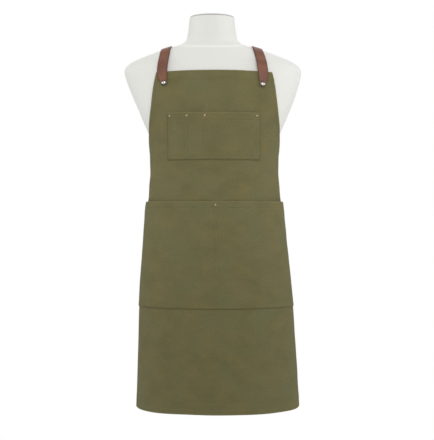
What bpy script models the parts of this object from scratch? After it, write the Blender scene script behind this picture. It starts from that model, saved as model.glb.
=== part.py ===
"""Bib apron on a dress form.

A canvas panel with two patch pockets hangs from a pair of leather straps, which
cross on the back and end in buckles at the waist. The padded form carries it.

Metres, +Z up. The origin is the middle of the underside of the form's base
board, and the front of the apron faces -Y. Left means -X, seen from the front.
"""

import functools
import math

import bmesh
import bpy
import numpy as np
from mathutils import Matrix, Vector
from mathutils.bvhtree import BVHTree

MM = 0.001

# Dress form: height, half width, front reach and back reach of its level sections.
FORM_STATIONS = (
    (0.0183, 0.172, -0.108, 0.106),
    (0.100, 0.175, -0.113, 0.108),
    (0.180, 0.167, -0.111, 0.101),
    (0.260, 0.157, -0.105, 0.084),
    (0.330, 0.153, -0.102, 0.075),
    (0.400, 0.158, -0.108, 0.084),
    (0.434, 0.166, -0.112, 0.095),
    (0.468, 0.181, -0.116, 0.106),
    (0.502, 0.195, -0.116, 0.112),
    (0.546, 0.213, -0.109, 0.114),
    (0.585, 0.226, -0.098, 0.110),
    (0.611, 0.229, -0.086, 0.102),
    (0.629, 0.212, -0.074, 0.093),
    (0.645, 0.177, -0.064, 0.085),
    (0.663, 0.128, -0.055, 0.078),
    (0.675, 0.086, -0.050, 0.073),
    (0.686, 0.0695, -0.047, 0.0715),
    (0.705, 0.0635, -0.046, 0.070),
    (0.746, 0.0585, -0.046, 0.070),
)
FORM_SQUARENESS = 2.2
# The form leans to -X by this much, from the first height to the second.
FORM_LEAN = 0.006
LEAN_HEIGHTS = (0.50, 0.67)
FORM_COLUMNS = 36
FORM_SPLITS = 2

# Apron cloth: height, half width, front reach and back reach of the surface it hangs on.
APRON_STATIONS = (
    (-0.268, 0.2090, -0.138, 0.136),
    (-0.195, 0.2060, -0.136, 0.134),
    (-0.091, 0.2015, -0.134, 0.130),
    (0.013, 0.1970, -0.132, 0.126),
    (0.086, 0.1910, -0.130, 0.121),
    (0.169, 0.1830, -0.127, 0.112),
    (0.230, 0.1760, -0.124, 0.103),
    (0.283, 0.1695, -0.121, 0.091),
    (0.345, 0.1650, -0.119, 0.084),
    (0.400, 0.1670, -0.119, 0.092),
    (0.434, 0.1720, -0.120, 0.102),
    (0.468, 0.1870, -0.122, 0.112),
    (0.502, 0.2010, -0.121, 0.117),
    (0.546, 0.2190, -0.114, 0.119),
    (0.585, 0.2320, -0.103, 0.115),
    (0.625, 0.2380, -0.086, 0.105),
)
APRON_SQUARENESS = 2.2
# The hanging cloth sways to +X by this much at the hem, from this height down.
APRON_SWAY = 0.0085
SWAY_FROM = 0.330
RING_STEPS = 720

# Height and half width, along the cloth, of the panel's side edges.
PANEL_EDGE = (
    (-0.262, 0.292),
    (0.290, 0.292),
    (0.325, 0.284),
    (0.360, 0.262),
    (0.400, 0.226),
    (0.440, 0.194),
    (0.480, 0.176),
    (0.530, 0.163),
    (0.570, 0.155),
    (0.598, 0.148),
)
PANEL_TURN = 0.014
PANEL_HEM = -0.262
PANEL_TOP = 0.598
TOP_CORNER_DROP = 0.004
PANEL_THICK = 1.2 * MM
PANEL_COLUMNS = 30
PANEL_ROWS = 20

POCKET_THICK = 1.2 * MM
POCKET_LIFT = 2.6 * MM
CHEST_POCKET = (-0.1203, 0.1178, 0.372, 0.4895)
LOWER_POCKET_INSET = 0.010
LOWER_POCKET_HEIGHTS = (0.000, 0.267)

CHEST_RIVETS_X = (-0.1125, -0.0690, -0.0236, 0.1082)
CHEST_RIVETS_Z = 0.4815
LOWER_RIVETS = {"left": (-0.212, 0.261), "centre": (0.0025, 0.258), "right": (0.214, 0.263)}
RIVET_HEAD = 3.2 * MM
RIVET_DOME = 1.4 * MM
RIVET_STEM = 1.2 * MM
BURR_RADIUS = 2.8 * MM
BURR_THICK = 0.8 * MM
BURR_GAP = 1.6 * MM
STUD_HEAD = 7.4 * MM
STUD_DOME = 3.2 * MM
STUD_STEM = 1.8 * MM
ROUND_STEPS = 12
CLEAR = 0.3 * MM

STRAP_WIDTH = 0.027
STRAP_THICK = 2.0 * MM
STRAP_TIP_WIDTH = 0.012
STRAP_TAPER = 0.026
STUD_FROM_TIP = 0.006
STRAP_ON_CLOTH = 2.1 * MM
STRAP_ON_FORM = 2.3 * MM
# Each strap's way up the front: distance across the cloth, and height. The stud is first.
FRONT_ROUTE = {
    "left": ((0.1268, 0.5655), (0.1290, 0.574), (0.1318, 0.586), (0.1320, 0.600), (0.1306, 0.614)),
    "right": ((0.1222, 0.5620), (0.1236, 0.572), (0.1243, 0.585), (0.1228, 0.600), (0.1208, 0.614)),
}
# Each strap's way over its shoulder, with X outwards.
SHOULDER_ROUTE = {
    "left": (
        (0.1262, -0.050, 0.641),
        (0.1243, -0.034, 0.656),
        (0.1232, -0.020, 0.664),
        (0.1222, 0.008, 0.667),
        (0.1190, 0.045, 0.662),
    ),
    "right": (
        (0.1162, -0.053, 0.641),
        (0.1122, -0.037, 0.656),
        (0.1105, -0.020, 0.665),
        (0.1095, 0.008, 0.668),
        (0.1110, 0.045, 0.664),
    ),
}
# The left strap's way down the back to the crossing; the right one mirrors it.
BACK_ROUTE = (
    (-0.1090, 0.080, 0.640),
    (-0.0950, 0.100, 0.610),
    (-0.0500, 0.125, 0.535),
    (0.0000, 0.120, 0.462),
    (0.0300, 0.110, 0.430),
)
STRAP_SEGMENTS = 36
BUCKLE_SEGMENTS = 36
CROSSING_LIFT = 3.6 * MM
CROSSING_SPREAD = 0.080

# Buckle set. Distances run along the strap from the buckle's bar, plus towards the side
# tab's rivet, and heights are above the apron's surface.
TAB_RIVET = (0.268, 0.292)
RUN_ANGLE = math.radians(42.5)
BAR_TO_RIVET = 0.070
BAR_HEIGHT = 4.1 * MM
TAB_THICK = 1.8 * MM
TAB_END = 0.080
TAB_SEGMENTS = 9
FOLD_REACH = 0.004
FOLD_SEGMENTS = 18
TAB_LOWER = 2.7 * MM
TAB_UPPER = 4.9 * MM
TAB_SLOT = 0.0055
TAB_SLOT_LENGTH = 0.011
# The strap's climb over the bar: distance along it, and millimetres above it.
BUCKLE_CLIMB = (
    (-0.030, -2.9), (-0.022, -2.9), (-0.018, -2.4), (-0.011, 0.9), (-0.005, 3.8), (0.0, 5.0), (0.005, 5.0),
)
FRAME_WIRE = 1.5 * MM
FRAME_INNER = 0.0145
FRAME_LENGTH = 0.020
FRAME_CORNER = 3.5 * MM
PRONG_WIRE = 1.0 * MM
PRONG_PAST = 2.2 * MM
PRONG_BEND = 0.006
TAIL_HEIGHT = 7.5 * MM
TAIL_PLACES = (0.018, 0.030, 0.044)
TAIL_END = 0.056
KEEPER_AT = 0.023
KEEPER_WIDTH = 0.009
KEEPER_WALL = 1.5 * MM
KEEPER_CLEAR = 1.1 * MM
KEEPER_CORNERS = (0.6 * MM, 2.0 * MM)
STRAP_SLOT = 0.0034
STRAP_SLOT_LENGTH = 0.016
STRAP_SLOT_END = 0.003
CUT_DEPTH = 0.012

BOARD_THICK = 0.018
BOARD_INSET = 0.003
CAP_RADIUS = 0.0575
CAP_THICK = 0.0037
CAP_STEPS = 40
CAP_BACK = 0.012
SCREW_PLACES = ((-0.115, -0.05), (0.115, -0.05), (-0.115, 0.05), (0.115, 0.05))
SCREW_SINK = 0.8 * MM
SCREW_HEAD = 4.2 * MM
SCREW_CONE = 3.0 * MM
SCREW_SHANK = 2.0 * MM
SCREW_LENGTH = 0.040

LINEN = ((0.77, 0.77, 0.72, 1.0), 0.9, 0.0)
PLYWOOD = ((0.55, 0.40, 0.25, 1.0), 0.7, 0.0)
CANVAS = ((0.155, 0.140, 0.058, 1.0), 0.9, 0.0)
LEATHER = ((0.23, 0.105, 0.065, 1.0), 0.55, 0.0)
BRASS = ((0.42, 0.30, 0.15, 1.0), 0.4, 1.0)
NICKEL = ((0.75, 0.70, 0.65, 1.0), 0.25, 1.0)
STEEL = ((0.55, 0.55, 0.56, 1.0), 0.35, 1.0)


def collection(name, helper=False):
    """A new collection in the scene; a helper one stays out of renders."""
    made = bpy.data.collections.new(name)
    bpy.context.scene.collection.children.link(made)
    made.hide_render = helper
    return made


def finish(spec):
    """The Principled material of a (colour, roughness, metallic) finish, made once."""
    color, roughness, metallic = spec
    name = "finish_%02d_%02d_%02d" % tuple(round(99 * value) for value in color[:3])
    material = bpy.data.materials.get(name)
    if material:
        return material
    material = bpy.data.materials.new(name)
    material.use_nodes = True
    shader = material.node_tree.nodes["Principled BSDF"]
    shader.inputs["Base Color"].default_value = color
    shader.inputs["Roughness"].default_value = roughness
    shader.inputs["Metallic"].default_value = metallic
    material.diffuse_color = color
    return material


def add_object(name, data, spec, smooth_sides=True):
    """Links data as a named part with its own finish."""
    made = bpy.data.objects.new(name, data)
    PARTS.objects.link(made)
    data.materials.append(finish(spec))
    if smooth_sides and isinstance(data, bpy.types.Mesh):
        data.shade_smooth()
        data.set_sharp_from_angle(angle=math.radians(35))
    return made


def mesh_of(bm, name):
    """The mesh of a bmesh, which is freed."""
    mesh = bpy.data.meshes.new(name)
    bm.to_mesh(mesh)
    bm.free()
    return mesh


def smooth(stations, height, column):
    """Value of one column at a height, on a smooth curve through the stations."""
    heights = [row[0] for row in stations]
    values = [row[column] for row in stations]
    last = len(heights) - 1
    height = min(max(height, heights[0]), heights[last])
    low = min(int(np.searchsorted(heights, height, side="right")) - 1, last - 1)

    def slope(i):
        before, after = max(i - 1, 0), min(i + 1, last)
        return (values[after] - values[before]) / (heights[after] - heights[before])

    gap = heights[low + 1] - heights[low]
    t = (height - heights[low]) / gap
    return (
        (2 * t**3 - 3 * t**2 + 1) * values[low]
        + (t**3 - 2 * t**2 + t) * gap * slope(low)
        + (3 * t**2 - 2 * t**3) * values[low + 1]
        + (t**3 - t**2) * gap * slope(low + 1)
    )


def section(stations, height, angles, squareness):
    """Points (x, y) of a level section; angle 0 is its front middle, plus is to +X."""
    half = smooth(stations, height, 1)
    front = smooth(stations, height, 2)
    back = smooth(stations, height, 3)
    power = 2 / squareness
    sines, cosines = np.sin(angles), np.cos(angles)
    x = half * np.sign(sines) * np.abs(sines) ** power
    y = (front + back) / 2 - (back - front) / 2 * np.sign(cosines) * np.abs(cosines) ** power
    return x, y


@functools.lru_cache(maxsize=None)
def apron_ring(height):
    """Distances along the cloth from the front middle, with their x and y."""
    angles = np.linspace(-math.pi, math.pi, RING_STEPS + 1)
    x, y = section(APRON_STATIONS, height, angles, APRON_SQUARENESS)
    share = max(0.0, (SWAY_FROM - height) / (SWAY_FROM - PANEL_HEM))
    x = x + APRON_SWAY * math.sin(min(share, 1.0) * math.pi / 2)
    along = np.concatenate([[0.0], np.cumsum(np.hypot(np.diff(x), np.diff(y)))])
    return along - along[RING_STEPS // 2], x, y


def cloth_point(across, height, lift=0.0):
    """Point of the apron's surface, lifted outwards."""
    along, x, y = apron_ring(round(height, 6))
    point = Vector((np.interp(across, along, x), np.interp(across, along, y), height))
    return point + cloth_normal(across, height) * lift if lift else point


def cloth_normal(across, height):
    """Outward direction of the apron's surface."""
    step = 0.003
    sideways = cloth_point(across + step, height) - cloth_point(across - step, height)
    upwards = cloth_point(across, height + step) - cloth_point(across, height - step)
    return sideways.cross(upwards).normalized()


def grid(name, columns, rows, place):
    """A grid mesh whose points are place(0 to 1 across, 0 to 1 up)."""
    bm = bmesh.new()
    bmesh.ops.create_grid(bm, x_segments=columns, y_segments=rows, size=0.5)
    for vert in bm.verts:
        vert.co = place(vert.co.x + 0.5, vert.co.y + 0.5)
    return mesh_of(bm, name)


def sheet(name, columns, rows, place, thickness, spec):
    """A grid given a wall, half to each side."""
    made = add_object(name, grid(name, columns, rows, place), spec)
    wall = made.modifiers.new("wall", "SOLIDIFY")
    wall.thickness = thickness
    wall.offset = 0.0
    return made


def frame_at(point, axis, across=Vector((1, 0, 0))):
    """Matrix that puts +Z along axis and +X near across, at a point."""
    z = axis.normalized()
    x = (across - z * across.dot(z)).normalized()
    turn = Matrix((x, z.cross(x), z)).transposed().to_4x4()
    return Matrix.Translation(point) @ turn


def drill(target, holes):
    """Cuts round holes, each (matrix, radius, half length), from a part."""
    bm = bmesh.new()
    for matrix, radius, reach in holes:
        bmesh.ops.create_cone(
            bm, cap_ends=True, segments=12, radius1=radius, radius2=radius, depth=2 * reach, matrix=matrix
        )
    cut(target, bm)


def cut(target, bm):
    """Subtracts the closed shapes of a bmesh from a part."""
    cutter = bpy.data.objects.new("cut_" + target.name, mesh_of(bm, "cut"))
    CUTTERS.objects.link(cutter)
    cutter.hide_render = True
    cutter.display_type = "WIRE"
    hole = target.modifiers.new("cut", "BOOLEAN")
    hole.operation = "DIFFERENCE"
    hole.object = cutter


def turned(name, profile, matrix, spec):
    """A part turned about its own Z from (radius, height) points, top to bottom."""
    bm = bmesh.new()
    verts = [bm.verts.new((radius, 0, height)) for radius, height in profile]
    for first, second in zip(verts, verts[1:]):
        bm.edges.new((first, second))
    made = add_object(name, mesh_of(bm, name), spec, smooth_sides=False)
    made.matrix_world = matrix
    screw = made.modifiers.new("turn", "SCREW")
    screw.steps = screw.render_steps = ROUND_STEPS
    screw.merge_threshold = 0.00005
    screw.use_merge_vertices = True
    return made


def rivet(name, matrix, grip, head=RIVET_HEAD, dome=RIVET_DOME, stem=RIVET_STEM, spec=BRASS):
    """A rivet with a domed head above its matrix and a burr below the grip."""
    angles = [math.radians(a) for a in (30, 60)]
    top = [(head * math.sin(a), dome * (0.3 + 0.7 * math.cos(a))) for a in angles]
    burr = BURR_RADIUS * stem / RIVET_STEM
    profile = [(0, dome), *top, (head, 0.3 * dome), (head, 0), (stem, 0), (stem, -grip)]
    profile += [(burr, -grip), (burr, -grip - BURR_THICK), (0, -grip - BURR_THICK)]
    turned(name, profile, matrix, spec)
    return matrix, stem + CLEAR, 0.02


def form_lean(height):
    """How far the form's middle stands to -X at a height, as a shift along X."""
    low, high = LEAN_HEIGHTS
    share = min(max((height - low) / (high - low), 0.0), 1.0)
    return -FORM_LEAN * share**2 * (3 - 2 * share)


def form_torso():
    """The padded body and neck, lofted through the form's sections; gives its surface."""
    heights = []
    for low, high in zip(FORM_STATIONS, FORM_STATIONS[1:]):
        heights += list(np.linspace(low[0], high[0], FORM_SPLITS, endpoint=False))
    heights.append(FORM_STATIONS[-1][0])
    rows = len(heights) - 1

    def place(across, up):
        height = heights[round(up * rows)]
        angle = math.tau * (round(across * FORM_COLUMNS) / FORM_COLUMNS - 0.5)
        x, y = section(FORM_STATIONS, height, np.array([angle]), FORM_SQUARENESS)
        return Vector((x[0] + form_lean(height), y[0], height))

    bm = bmesh.new()
    bm.from_mesh(grid("torso", FORM_COLUMNS, rows, place))
    bmesh.ops.remove_doubles(bm, verts=bm.verts, dist=1e-5)
    bmesh.ops.holes_fill(bm, edges=[edge for edge in bm.edges if edge.is_boundary], sides=0)
    bmesh.ops.recalc_face_normals(bm, faces=bm.faces)
    surface = BVHTree.FromBMesh(bm)
    torso = add_object("form_torso", mesh_of(bm, "form_torso"), LINEN)
    reach = SCREW_LENGTH + SCREW_SINK + CLEAR
    drill(torso, [(Matrix.Translation((x, y, 0)), SCREW_SHANK + CLEAR, reach) for x, y in SCREW_PLACES])
    return surface


def flat_outline(name, splines, half, matrix, spec):
    """A flat plate from closed outlines in its own XY plane; inner ones are holes."""
    curve = bpy.data.curves.new(name, "CURVE")
    curve.dimensions = "2D"
    curve.fill_mode = "BOTH"
    curve.extrude = half
    for points in splines:
        spline = curve.splines.new("POLY")
        spline.points.add(len(points) - 1)
        for target, (x, y) in zip(spline.points, points):
            target.co = (x, y, 0, 1)
        spline.use_cyclic_u = True
    made = add_object(name, curve, spec)
    made.matrix_world = matrix
    return made


def as_mesh(made):
    """Replaces a curve part with the welded mesh that it makes."""
    graph = bpy.context.evaluated_depsgraph_get()
    mesh = bpy.data.meshes.new_from_object(made.evaluated_get(graph))
    bm = bmesh.new()
    bm.from_mesh(mesh)
    bmesh.ops.remove_doubles(bm, verts=bm.verts, dist=1e-6)
    bm.to_mesh(mesh)
    bm.free()
    name, place = made.name, made.matrix_world.copy()
    bpy.data.objects.remove(made)
    solid = bpy.data.objects.new(name, mesh)
    PARTS.objects.link(solid)
    solid.matrix_world = place
    return solid


def base_board():
    """The plywood board that closes the form, held by four countersunk screws."""
    angles = np.linspace(0, math.tau, FORM_COLUMNS, endpoint=False)
    x, y = section(FORM_STATIONS, BOARD_THICK, angles, FORM_SQUARENESS)
    shrink = 1 - BOARD_INSET / FORM_STATIONS[0][1]
    outline = [(a * shrink, b * shrink) for a, b in zip(x, y)]
    middle = Matrix.Translation((0, 0, BOARD_THICK / 2))
    board = as_mesh(flat_outline("base_board", [outline], BOARD_THICK / 2, middle, PLYWOOD))
    bm = bmesh.new()
    for i, (x, y) in enumerate(SCREW_PLACES, start=1):
        head_face = Matrix.Translation((x, y, SCREW_SINK)) @ Matrix.Rotation(math.pi, 4, "X")
        profile = [(0, 0), (SCREW_HEAD, 0), (SCREW_SHANK, -SCREW_CONE)]
        profile += [(SCREW_SHANK, 2 * MM - SCREW_LENGTH), (0, -SCREW_LENGTH)]
        turned(f"board_screw_{i}", profile, head_face, STEEL)
        place = Matrix.Translation((x, y, 0)) @ board.matrix_world.inverted()
        shank = SCREW_SHANK + CLEAR
        bmesh.ops.create_cone(
            bm, cap_ends=True, segments=16, radius1=shank, radius2=shank, depth=0.06, matrix=place
        )
    sunk = bmesh.new()
    for x, y in SCREW_PLACES:
        depth = SCREW_CONE + 2 * SCREW_SINK
        place = Matrix.Translation((x, y, depth / 2 - SCREW_SINK)) @ board.matrix_world.inverted()
        bmesh.ops.create_cone(
            sunk, cap_ends=True, segments=16, radius1=SCREW_HEAD + 3 * CLEAR + SCREW_SINK,
            radius2=SCREW_SHANK + 2 * CLEAR, depth=depth, matrix=place,
        )
    for shapes in (bm, sunk):
        bmesh.ops.transform(shapes, matrix=board.matrix_world, verts=shapes.verts)
        cut(board, shapes)


def neck_cap():
    """The flat cap on the neck."""
    z = FORM_STATIONS[-1][0] + CLEAR
    edge = 0.8 * MM
    profile = [(0, CAP_THICK), (CAP_RADIUS - edge, CAP_THICK), (CAP_RADIUS, CAP_THICK - edge)]
    profile += [(CAP_RADIUS, 0), (0, 0)]
    made = turned("neck_cap", profile, Matrix.Translation((form_lean(z), CAP_BACK, z)), LINEN)
    made.modifiers["turn"].steps = made.modifiers["turn"].render_steps = CAP_STEPS


def panel_turn(height):
    """How far the cloth has crept round to +X below the waist."""
    return PANEL_TURN * max(0.0, (TAB_RIVET[1] - height) / (TAB_RIVET[1] - PANEL_HEM))


def panel_place(across, up):
    """Point of the canvas panel at 0 to 1 across and up its pattern."""
    side = 2 * across - 1
    height = PANEL_HEM + (PANEL_TOP - PANEL_HEM) * up
    half = smooth(PANEL_EDGE, height, 1)
    return cloth_point(side * half + panel_turn(height), height - TOP_CORNER_DROP * side**2 * up**4)


def canvas_panel(holes):
    """The apron's one-piece canvas panel, with the holes of its rivets."""
    panel = sheet("canvas_panel", PANEL_COLUMNS, PANEL_ROWS, panel_place, PANEL_THICK, CANVAS)
    drill(panel, holes)


def chest_pocket():
    """The patch pocket on the bib and its four rivets; gives the rivet holes."""
    left, right, low, high = CHEST_POCKET

    def place(across, up):
        return cloth_point(left + (right - left) * across, low + (high - low) * up, POCKET_LIFT)

    pocket = sheet("chest_pocket", 12, 4, place, POCKET_THICK, CANVAS)
    holes = []
    for i, x in enumerate(CHEST_RIVETS_X, start=1):
        holes.append(pocket_rivet(f"chest_rivet_{i}", x, CHEST_RIVETS_Z))
    drill(pocket, holes)
    return holes


def pocket_rivet(name, across, height):
    """A rivet through a pocket and the panel, standing on the pocket."""
    seat = POCKET_LIFT + POCKET_THICK / 2 + 2 * CLEAR
    place = frame_at(cloth_point(across, height, seat), cloth_normal(across, height))
    return rivet(name, place, seat + PANEL_THICK / 2 + BURR_GAP)


def lower_pocket():
    """The wide pocket across the lap and its three rivets; gives the rivet holes."""
    low, high = LOWER_POCKET_HEIGHTS

    def place(across, up):
        height = low + (high - low) * up
        reach = smooth(PANEL_EDGE, height, 1) - LOWER_POCKET_INSET
        return cloth_point(reach * (2 * across - 1) + panel_turn(height), height, POCKET_LIFT)

    pocket = sheet("lower_pocket", 30, 6, place, POCKET_THICK, CANVAS)
    holes = [pocket_rivet(f"pocket_rivet_{name}", *spot) for name, spot in LOWER_RIVETS.items()]
    drill(pocket, holes)
    return holes


def mirrored(point, side):
    """The left side's point, or its mirror image for side +1."""
    return Vector((-side * point[0], point[1], point[2]))


def run_frame(side, distance, height=0.0):
    """Matrix on the strap's last run: +X along it to the side tab, +Z outwards.

    The strap of side -1 starts at the left front and ends at the right waist.
    """

    def spot(at, lift):
        back = BAR_TO_RIVET - at
        across = TAB_RIVET[0] + back * math.cos(RUN_ANGLE)
        return cloth_point(-side * across, TAB_RIVET[1] + back * math.sin(RUN_ANGLE), lift)

    step = 0.004
    along = (spot(distance + step, 0) - spot(distance - step, 0)).normalized()
    out = spot(distance, 1.0) - spot(distance, 0)
    out = (out - along * out.dot(along)).normalized()
    turn = Matrix((along, out.cross(along), out)).transposed().to_4x4()
    return Matrix.Translation(spot(distance, height)) @ turn


def run_station(side, distance, height):
    """Centre point and outward direction of leather lying on the run."""
    place = run_frame(side, distance, height)
    return place.translation, place.to_3x3().col[2]


def ribbon(name, centres, normals, widths, thickness, spec):
    """A strap of the given widths along centres, its face turned to the normals."""
    count = len(centres)
    tangents = [centres[min(i + 1, count - 1)] - centres[max(i - 1, 0)] for i in range(count)]

    def place(across, up):
        i = round(up * (count - 1))
        sideways = tangents[i].cross(normals[i]).normalized()
        return centres[i] + sideways * widths[i] * (across - 0.5)

    made = add_object(name, grid(name, 1, count - 1, place), spec)
    wall = made.modifiers.new("wall", "SOLIDIFY")
    wall.thickness = thickness
    wall.offset = 0.0
    return made


def spline_through(points, steps):
    """Points on a smooth curve through the given ones, and the curve's length.

    steps is how many even points, or a list of distances along the curve.
    """
    knots = np.array([tuple(point) for point in points])
    gaps = np.linalg.norm(np.diff(knots, axis=0), axis=1)
    rates = np.diff(knots, axis=0) / gaps[:, None]
    inner = (rates[:-1] * gaps[1:, None] + rates[1:] * gaps[:-1, None]) / (gaps[1:] + gaps[:-1])[:, None]
    slopes = np.vstack([rates[:1], inner, rates[-1:]])
    fine = []
    for i, gap in enumerate(gaps):
        for t in np.linspace(0, 1, 16, endpoint=False):
            fine.append(
                (2 * t**3 - 3 * t**2 + 1) * knots[i]
                + (t**3 - 2 * t**2 + t) * gap * slopes[i]
                + (3 * t**2 - 2 * t**3) * knots[i + 1]
                + (t**3 - t**2) * gap * slopes[i + 1]
            )
    fine = np.array([*fine, knots[-1]])
    along = np.concatenate([[0], np.cumsum(np.linalg.norm(np.diff(fine, axis=0), axis=1))])
    even = steps if np.ndim(steps) else np.linspace(0, along[-1], steps)
    return [Vector([np.interp(s, along, fine[:, k]) for k in range(3)]) for s in even], along[-1]


def strap_lift(name, point):
    """Extra lift of the strap that passes over the other where they cross."""
    if name == "left":
        return 0.0
    away = math.hypot(point.x, point.z - BACK_ROUTE[-2][2]) / CROSSING_SPREAD
    return CROSSING_LIFT * max(0.0, 1 - away**2) ** 2 if point.y > 0 else 0.0


def strap_route(name, side, surface):
    """Centre points and outward directions along a strap, from its front tip."""
    stations = []
    across, height = FRONT_ROUTE[name][0]
    for across, height in ((across, height - STUD_FROM_TIP), *FRONT_ROUTE[name]):
        lift = PANEL_THICK / 2 + STRAP_ON_CLOTH
        stations.append((cloth_point(side * across, height, lift), cloth_normal(side * across, height)))
    shoulder = [Vector((side * x, y, z)) for x, y, z in SHOULDER_ROUTE[name]]
    for spot in spline_through(shoulder + [mirrored(point, side) for point in BACK_ROUTE], 26)[0]:
        contact, normal, _, _ = surface.find_nearest(spot)
        lift = STRAP_ON_FORM + strap_lift(name, spot)
        stations.append((contact + normal * lift, normal))
    bar = run_frame(side, 0.0, BAR_HEIGHT)
    for along, up in BUCKLE_CLIMB:
        stations.append((bar @ Vector((along, 0, up * MM)), bar.to_3x3().col[2]))
    for distance in (*TAIL_PLACES, TAIL_END):
        stations.append(run_station(side, distance, TAIL_HEIGHT))
    return stations


def leather_strap(name, side, surface):
    """One strap, from the stud on the bib over the shoulder and through its buckle."""
    stations = strap_route(name, side, surface)
    points = [station[0] for station in stations]
    _, length = spline_through(points, 2)
    tip = [0.0, 0.0015, 0.004, 0.008]
    through_buckle = length - TAIL_END - 2 * FRAME_LENGTH
    even = tip + list(np.linspace(0.012, through_buckle, STRAP_SEGMENTS, endpoint=False))
    even += list(np.linspace(through_buckle, length - 0.012, BUCKLE_SEGMENTS))
    even += [length - s for s in reversed(tip)]
    centres, _ = spline_through(points, even)
    knots = np.array([tuple(point) for point in points])
    outs = np.array([tuple(station[1]) for station in stations])
    normals = []
    for centre in centres:
        near = np.exp(-((np.linalg.norm(knots - np.array(centre), axis=1) / 0.018) ** 2))
        normals.append(Vector((near[:, None] * outs).sum(axis=0)).normalized())
    widths = []
    for s in even:
        front = STRAP_TIP_WIDTH + (STRAP_WIDTH - STRAP_TIP_WIDTH) * min(1, s / STRAP_TAPER)
        end = min(s, length - s, STRAP_TIP_WIDTH / 2)
        round_off = math.sqrt(max(0.06, 1 - (1 - 2 * end / STRAP_TIP_WIDTH) ** 2))
        widths.append(front * round_off)
    strap = ribbon(f"strap_{name}", centres, normals, widths, STRAP_THICK, LEATHER)

    across, height = side * FRONT_ROUTE[name][0][0], FRONT_ROUTE[name][0][1]
    seat = PANEL_THICK / 2 + STRAP_ON_CLOTH + STRAP_THICK / 2 + CLEAR
    place = frame_at(cloth_point(across, height, seat), cloth_normal(across, height))
    grip = seat + PANEL_THICK / 2 + BURR_GAP
    stud = rivet(f"strap_stud_{name}", place, grip, STUD_HEAD, STUD_DOME, STUD_STEM, NICKEL)
    drill(strap, [stud])
    slot = bmesh.new()
    bmesh.ops.create_cube(slot, size=1.0)
    bmesh.ops.scale(slot, vec=(STRAP_SLOT_LENGTH, STRAP_SLOT, CUT_DEPTH), verts=slot.verts)
    bmesh.ops.translate(slot, vec=(STRAP_SLOT_END - STRAP_SLOT_LENGTH / 2, 0, 0.003), verts=slot.verts)
    bmesh.ops.transform(slot, matrix=run_frame(side, 0.0, BAR_HEIGHT), verts=slot.verts)
    cut(strap, slot)
    return stud


def side_tab(name, side):
    """The folded leather tab that holds the buckle on the panel; gives its rivet hole."""
    bar = run_frame(side, 0.0, BAR_HEIGHT)
    fold = FRAME_WIRE + CLEAR + TAB_THICK / 2
    stations = [run_station(side, distance, TAB_LOWER) for distance in (TAB_END, 0.060, 0.040, 0.020, 0.010)]
    for degrees in range(-70, -291, -20):
        angle = math.radians(degrees)
        out = Vector((math.cos(angle), 0, math.sin(angle)))
        stations.append((bar @ (out * fold), bar.to_3x3() @ -out))
    stations += [run_station(side, distance, TAB_UPPER) for distance in (0.010, 0.020, 0.040, 0.060, TAB_END)]
    centres = [station[0] for station in stations]
    _, length = spline_through(centres, 2)
    leaf = np.linspace(0, TAB_END - FOLD_REACH, TAB_SEGMENTS, endpoint=False)
    turn = np.linspace(TAB_END - FOLD_REACH, length - TAB_END + FOLD_REACH, FOLD_SEGMENTS)
    fine, _ = spline_through(centres, [*leaf, *turn, *(length - leaf[::-1])])
    sideways = [run_frame(side, max(0.0, abs(bar_distance(bar, point))), 0).to_3x3().col[1] for point in fine]
    normals = []
    for i, point in enumerate(fine):
        tangent = fine[min(i + 1, len(fine) - 1)] - fine[max(i - 1, 0)]
        normals.append(sideways[i].cross(tangent).normalized())
    tab = ribbon(f"side_tab_{name}", fine, normals, [STRAP_WIDTH] * len(fine), TAB_THICK, LEATHER)
    slot = bmesh.new()
    bmesh.ops.create_cube(slot, size=1.0)
    bmesh.ops.scale(slot, vec=(TAB_SLOT_LENGTH, TAB_SLOT, CUT_DEPTH), verts=slot.verts)
    bmesh.ops.transform(slot, matrix=bar, verts=slot.verts)
    cut(tab, slot)
    seat = TAB_UPPER + TAB_THICK / 2 + 3 * CLEAR
    grip = seat + PANEL_THICK / 2 + BURR_GAP
    place = run_frame(side, BAR_TO_RIVET, seat)
    hole = rivet(f"tab_rivet_{name}", place, grip, 1.4 * RIVET_HEAD, RIVET_DOME, STUD_STEM, BRASS)
    drill(tab, [hole])
    return hole


def bar_distance(bar, point):
    """Distance of a point past the buckle's bar, along the strap."""
    return (point - bar.translation).dot(bar.to_3x3().col[0])


def wire(name, points, radius, matrix, spec, closed=False):
    """A bent wire through points, in the matrix's frame."""
    curve = bpy.data.curves.new(name, "CURVE")
    curve.dimensions = "3D"
    curve.bevel_depth = radius
    curve.bevel_resolution = 2
    curve.use_fill_caps = not closed
    spline = curve.splines.new("POLY")
    spline.points.add(len(points) - 1)
    for target, point in zip(spline.points, points):
        target.co = (*point, 1)
    spline.use_cyclic_u = closed
    made = add_object(name, curve, spec)
    made.matrix_world = matrix
    return made


def rounded_rectangle(low, high, radius, steps=4):
    """Points round a rectangle with rounded corners, anticlockwise."""
    points = []
    corners = ((high[0], high[1], 0), (low[0], high[1], 90), (low[0], low[1], 180), (high[0], low[1], 270))
    for x, y, start in corners:
        centre_x = x - math.copysign(radius, x - (low[0] + high[0]) / 2)
        centre_y = y - math.copysign(radius, y - (low[1] + high[1]) / 2)
        for i in range(steps + 1):
            angle = math.radians(start + 90 * i / steps)
            points.append((centre_x + radius * math.cos(angle), centre_y + radius * math.sin(angle)))
    return points


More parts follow.
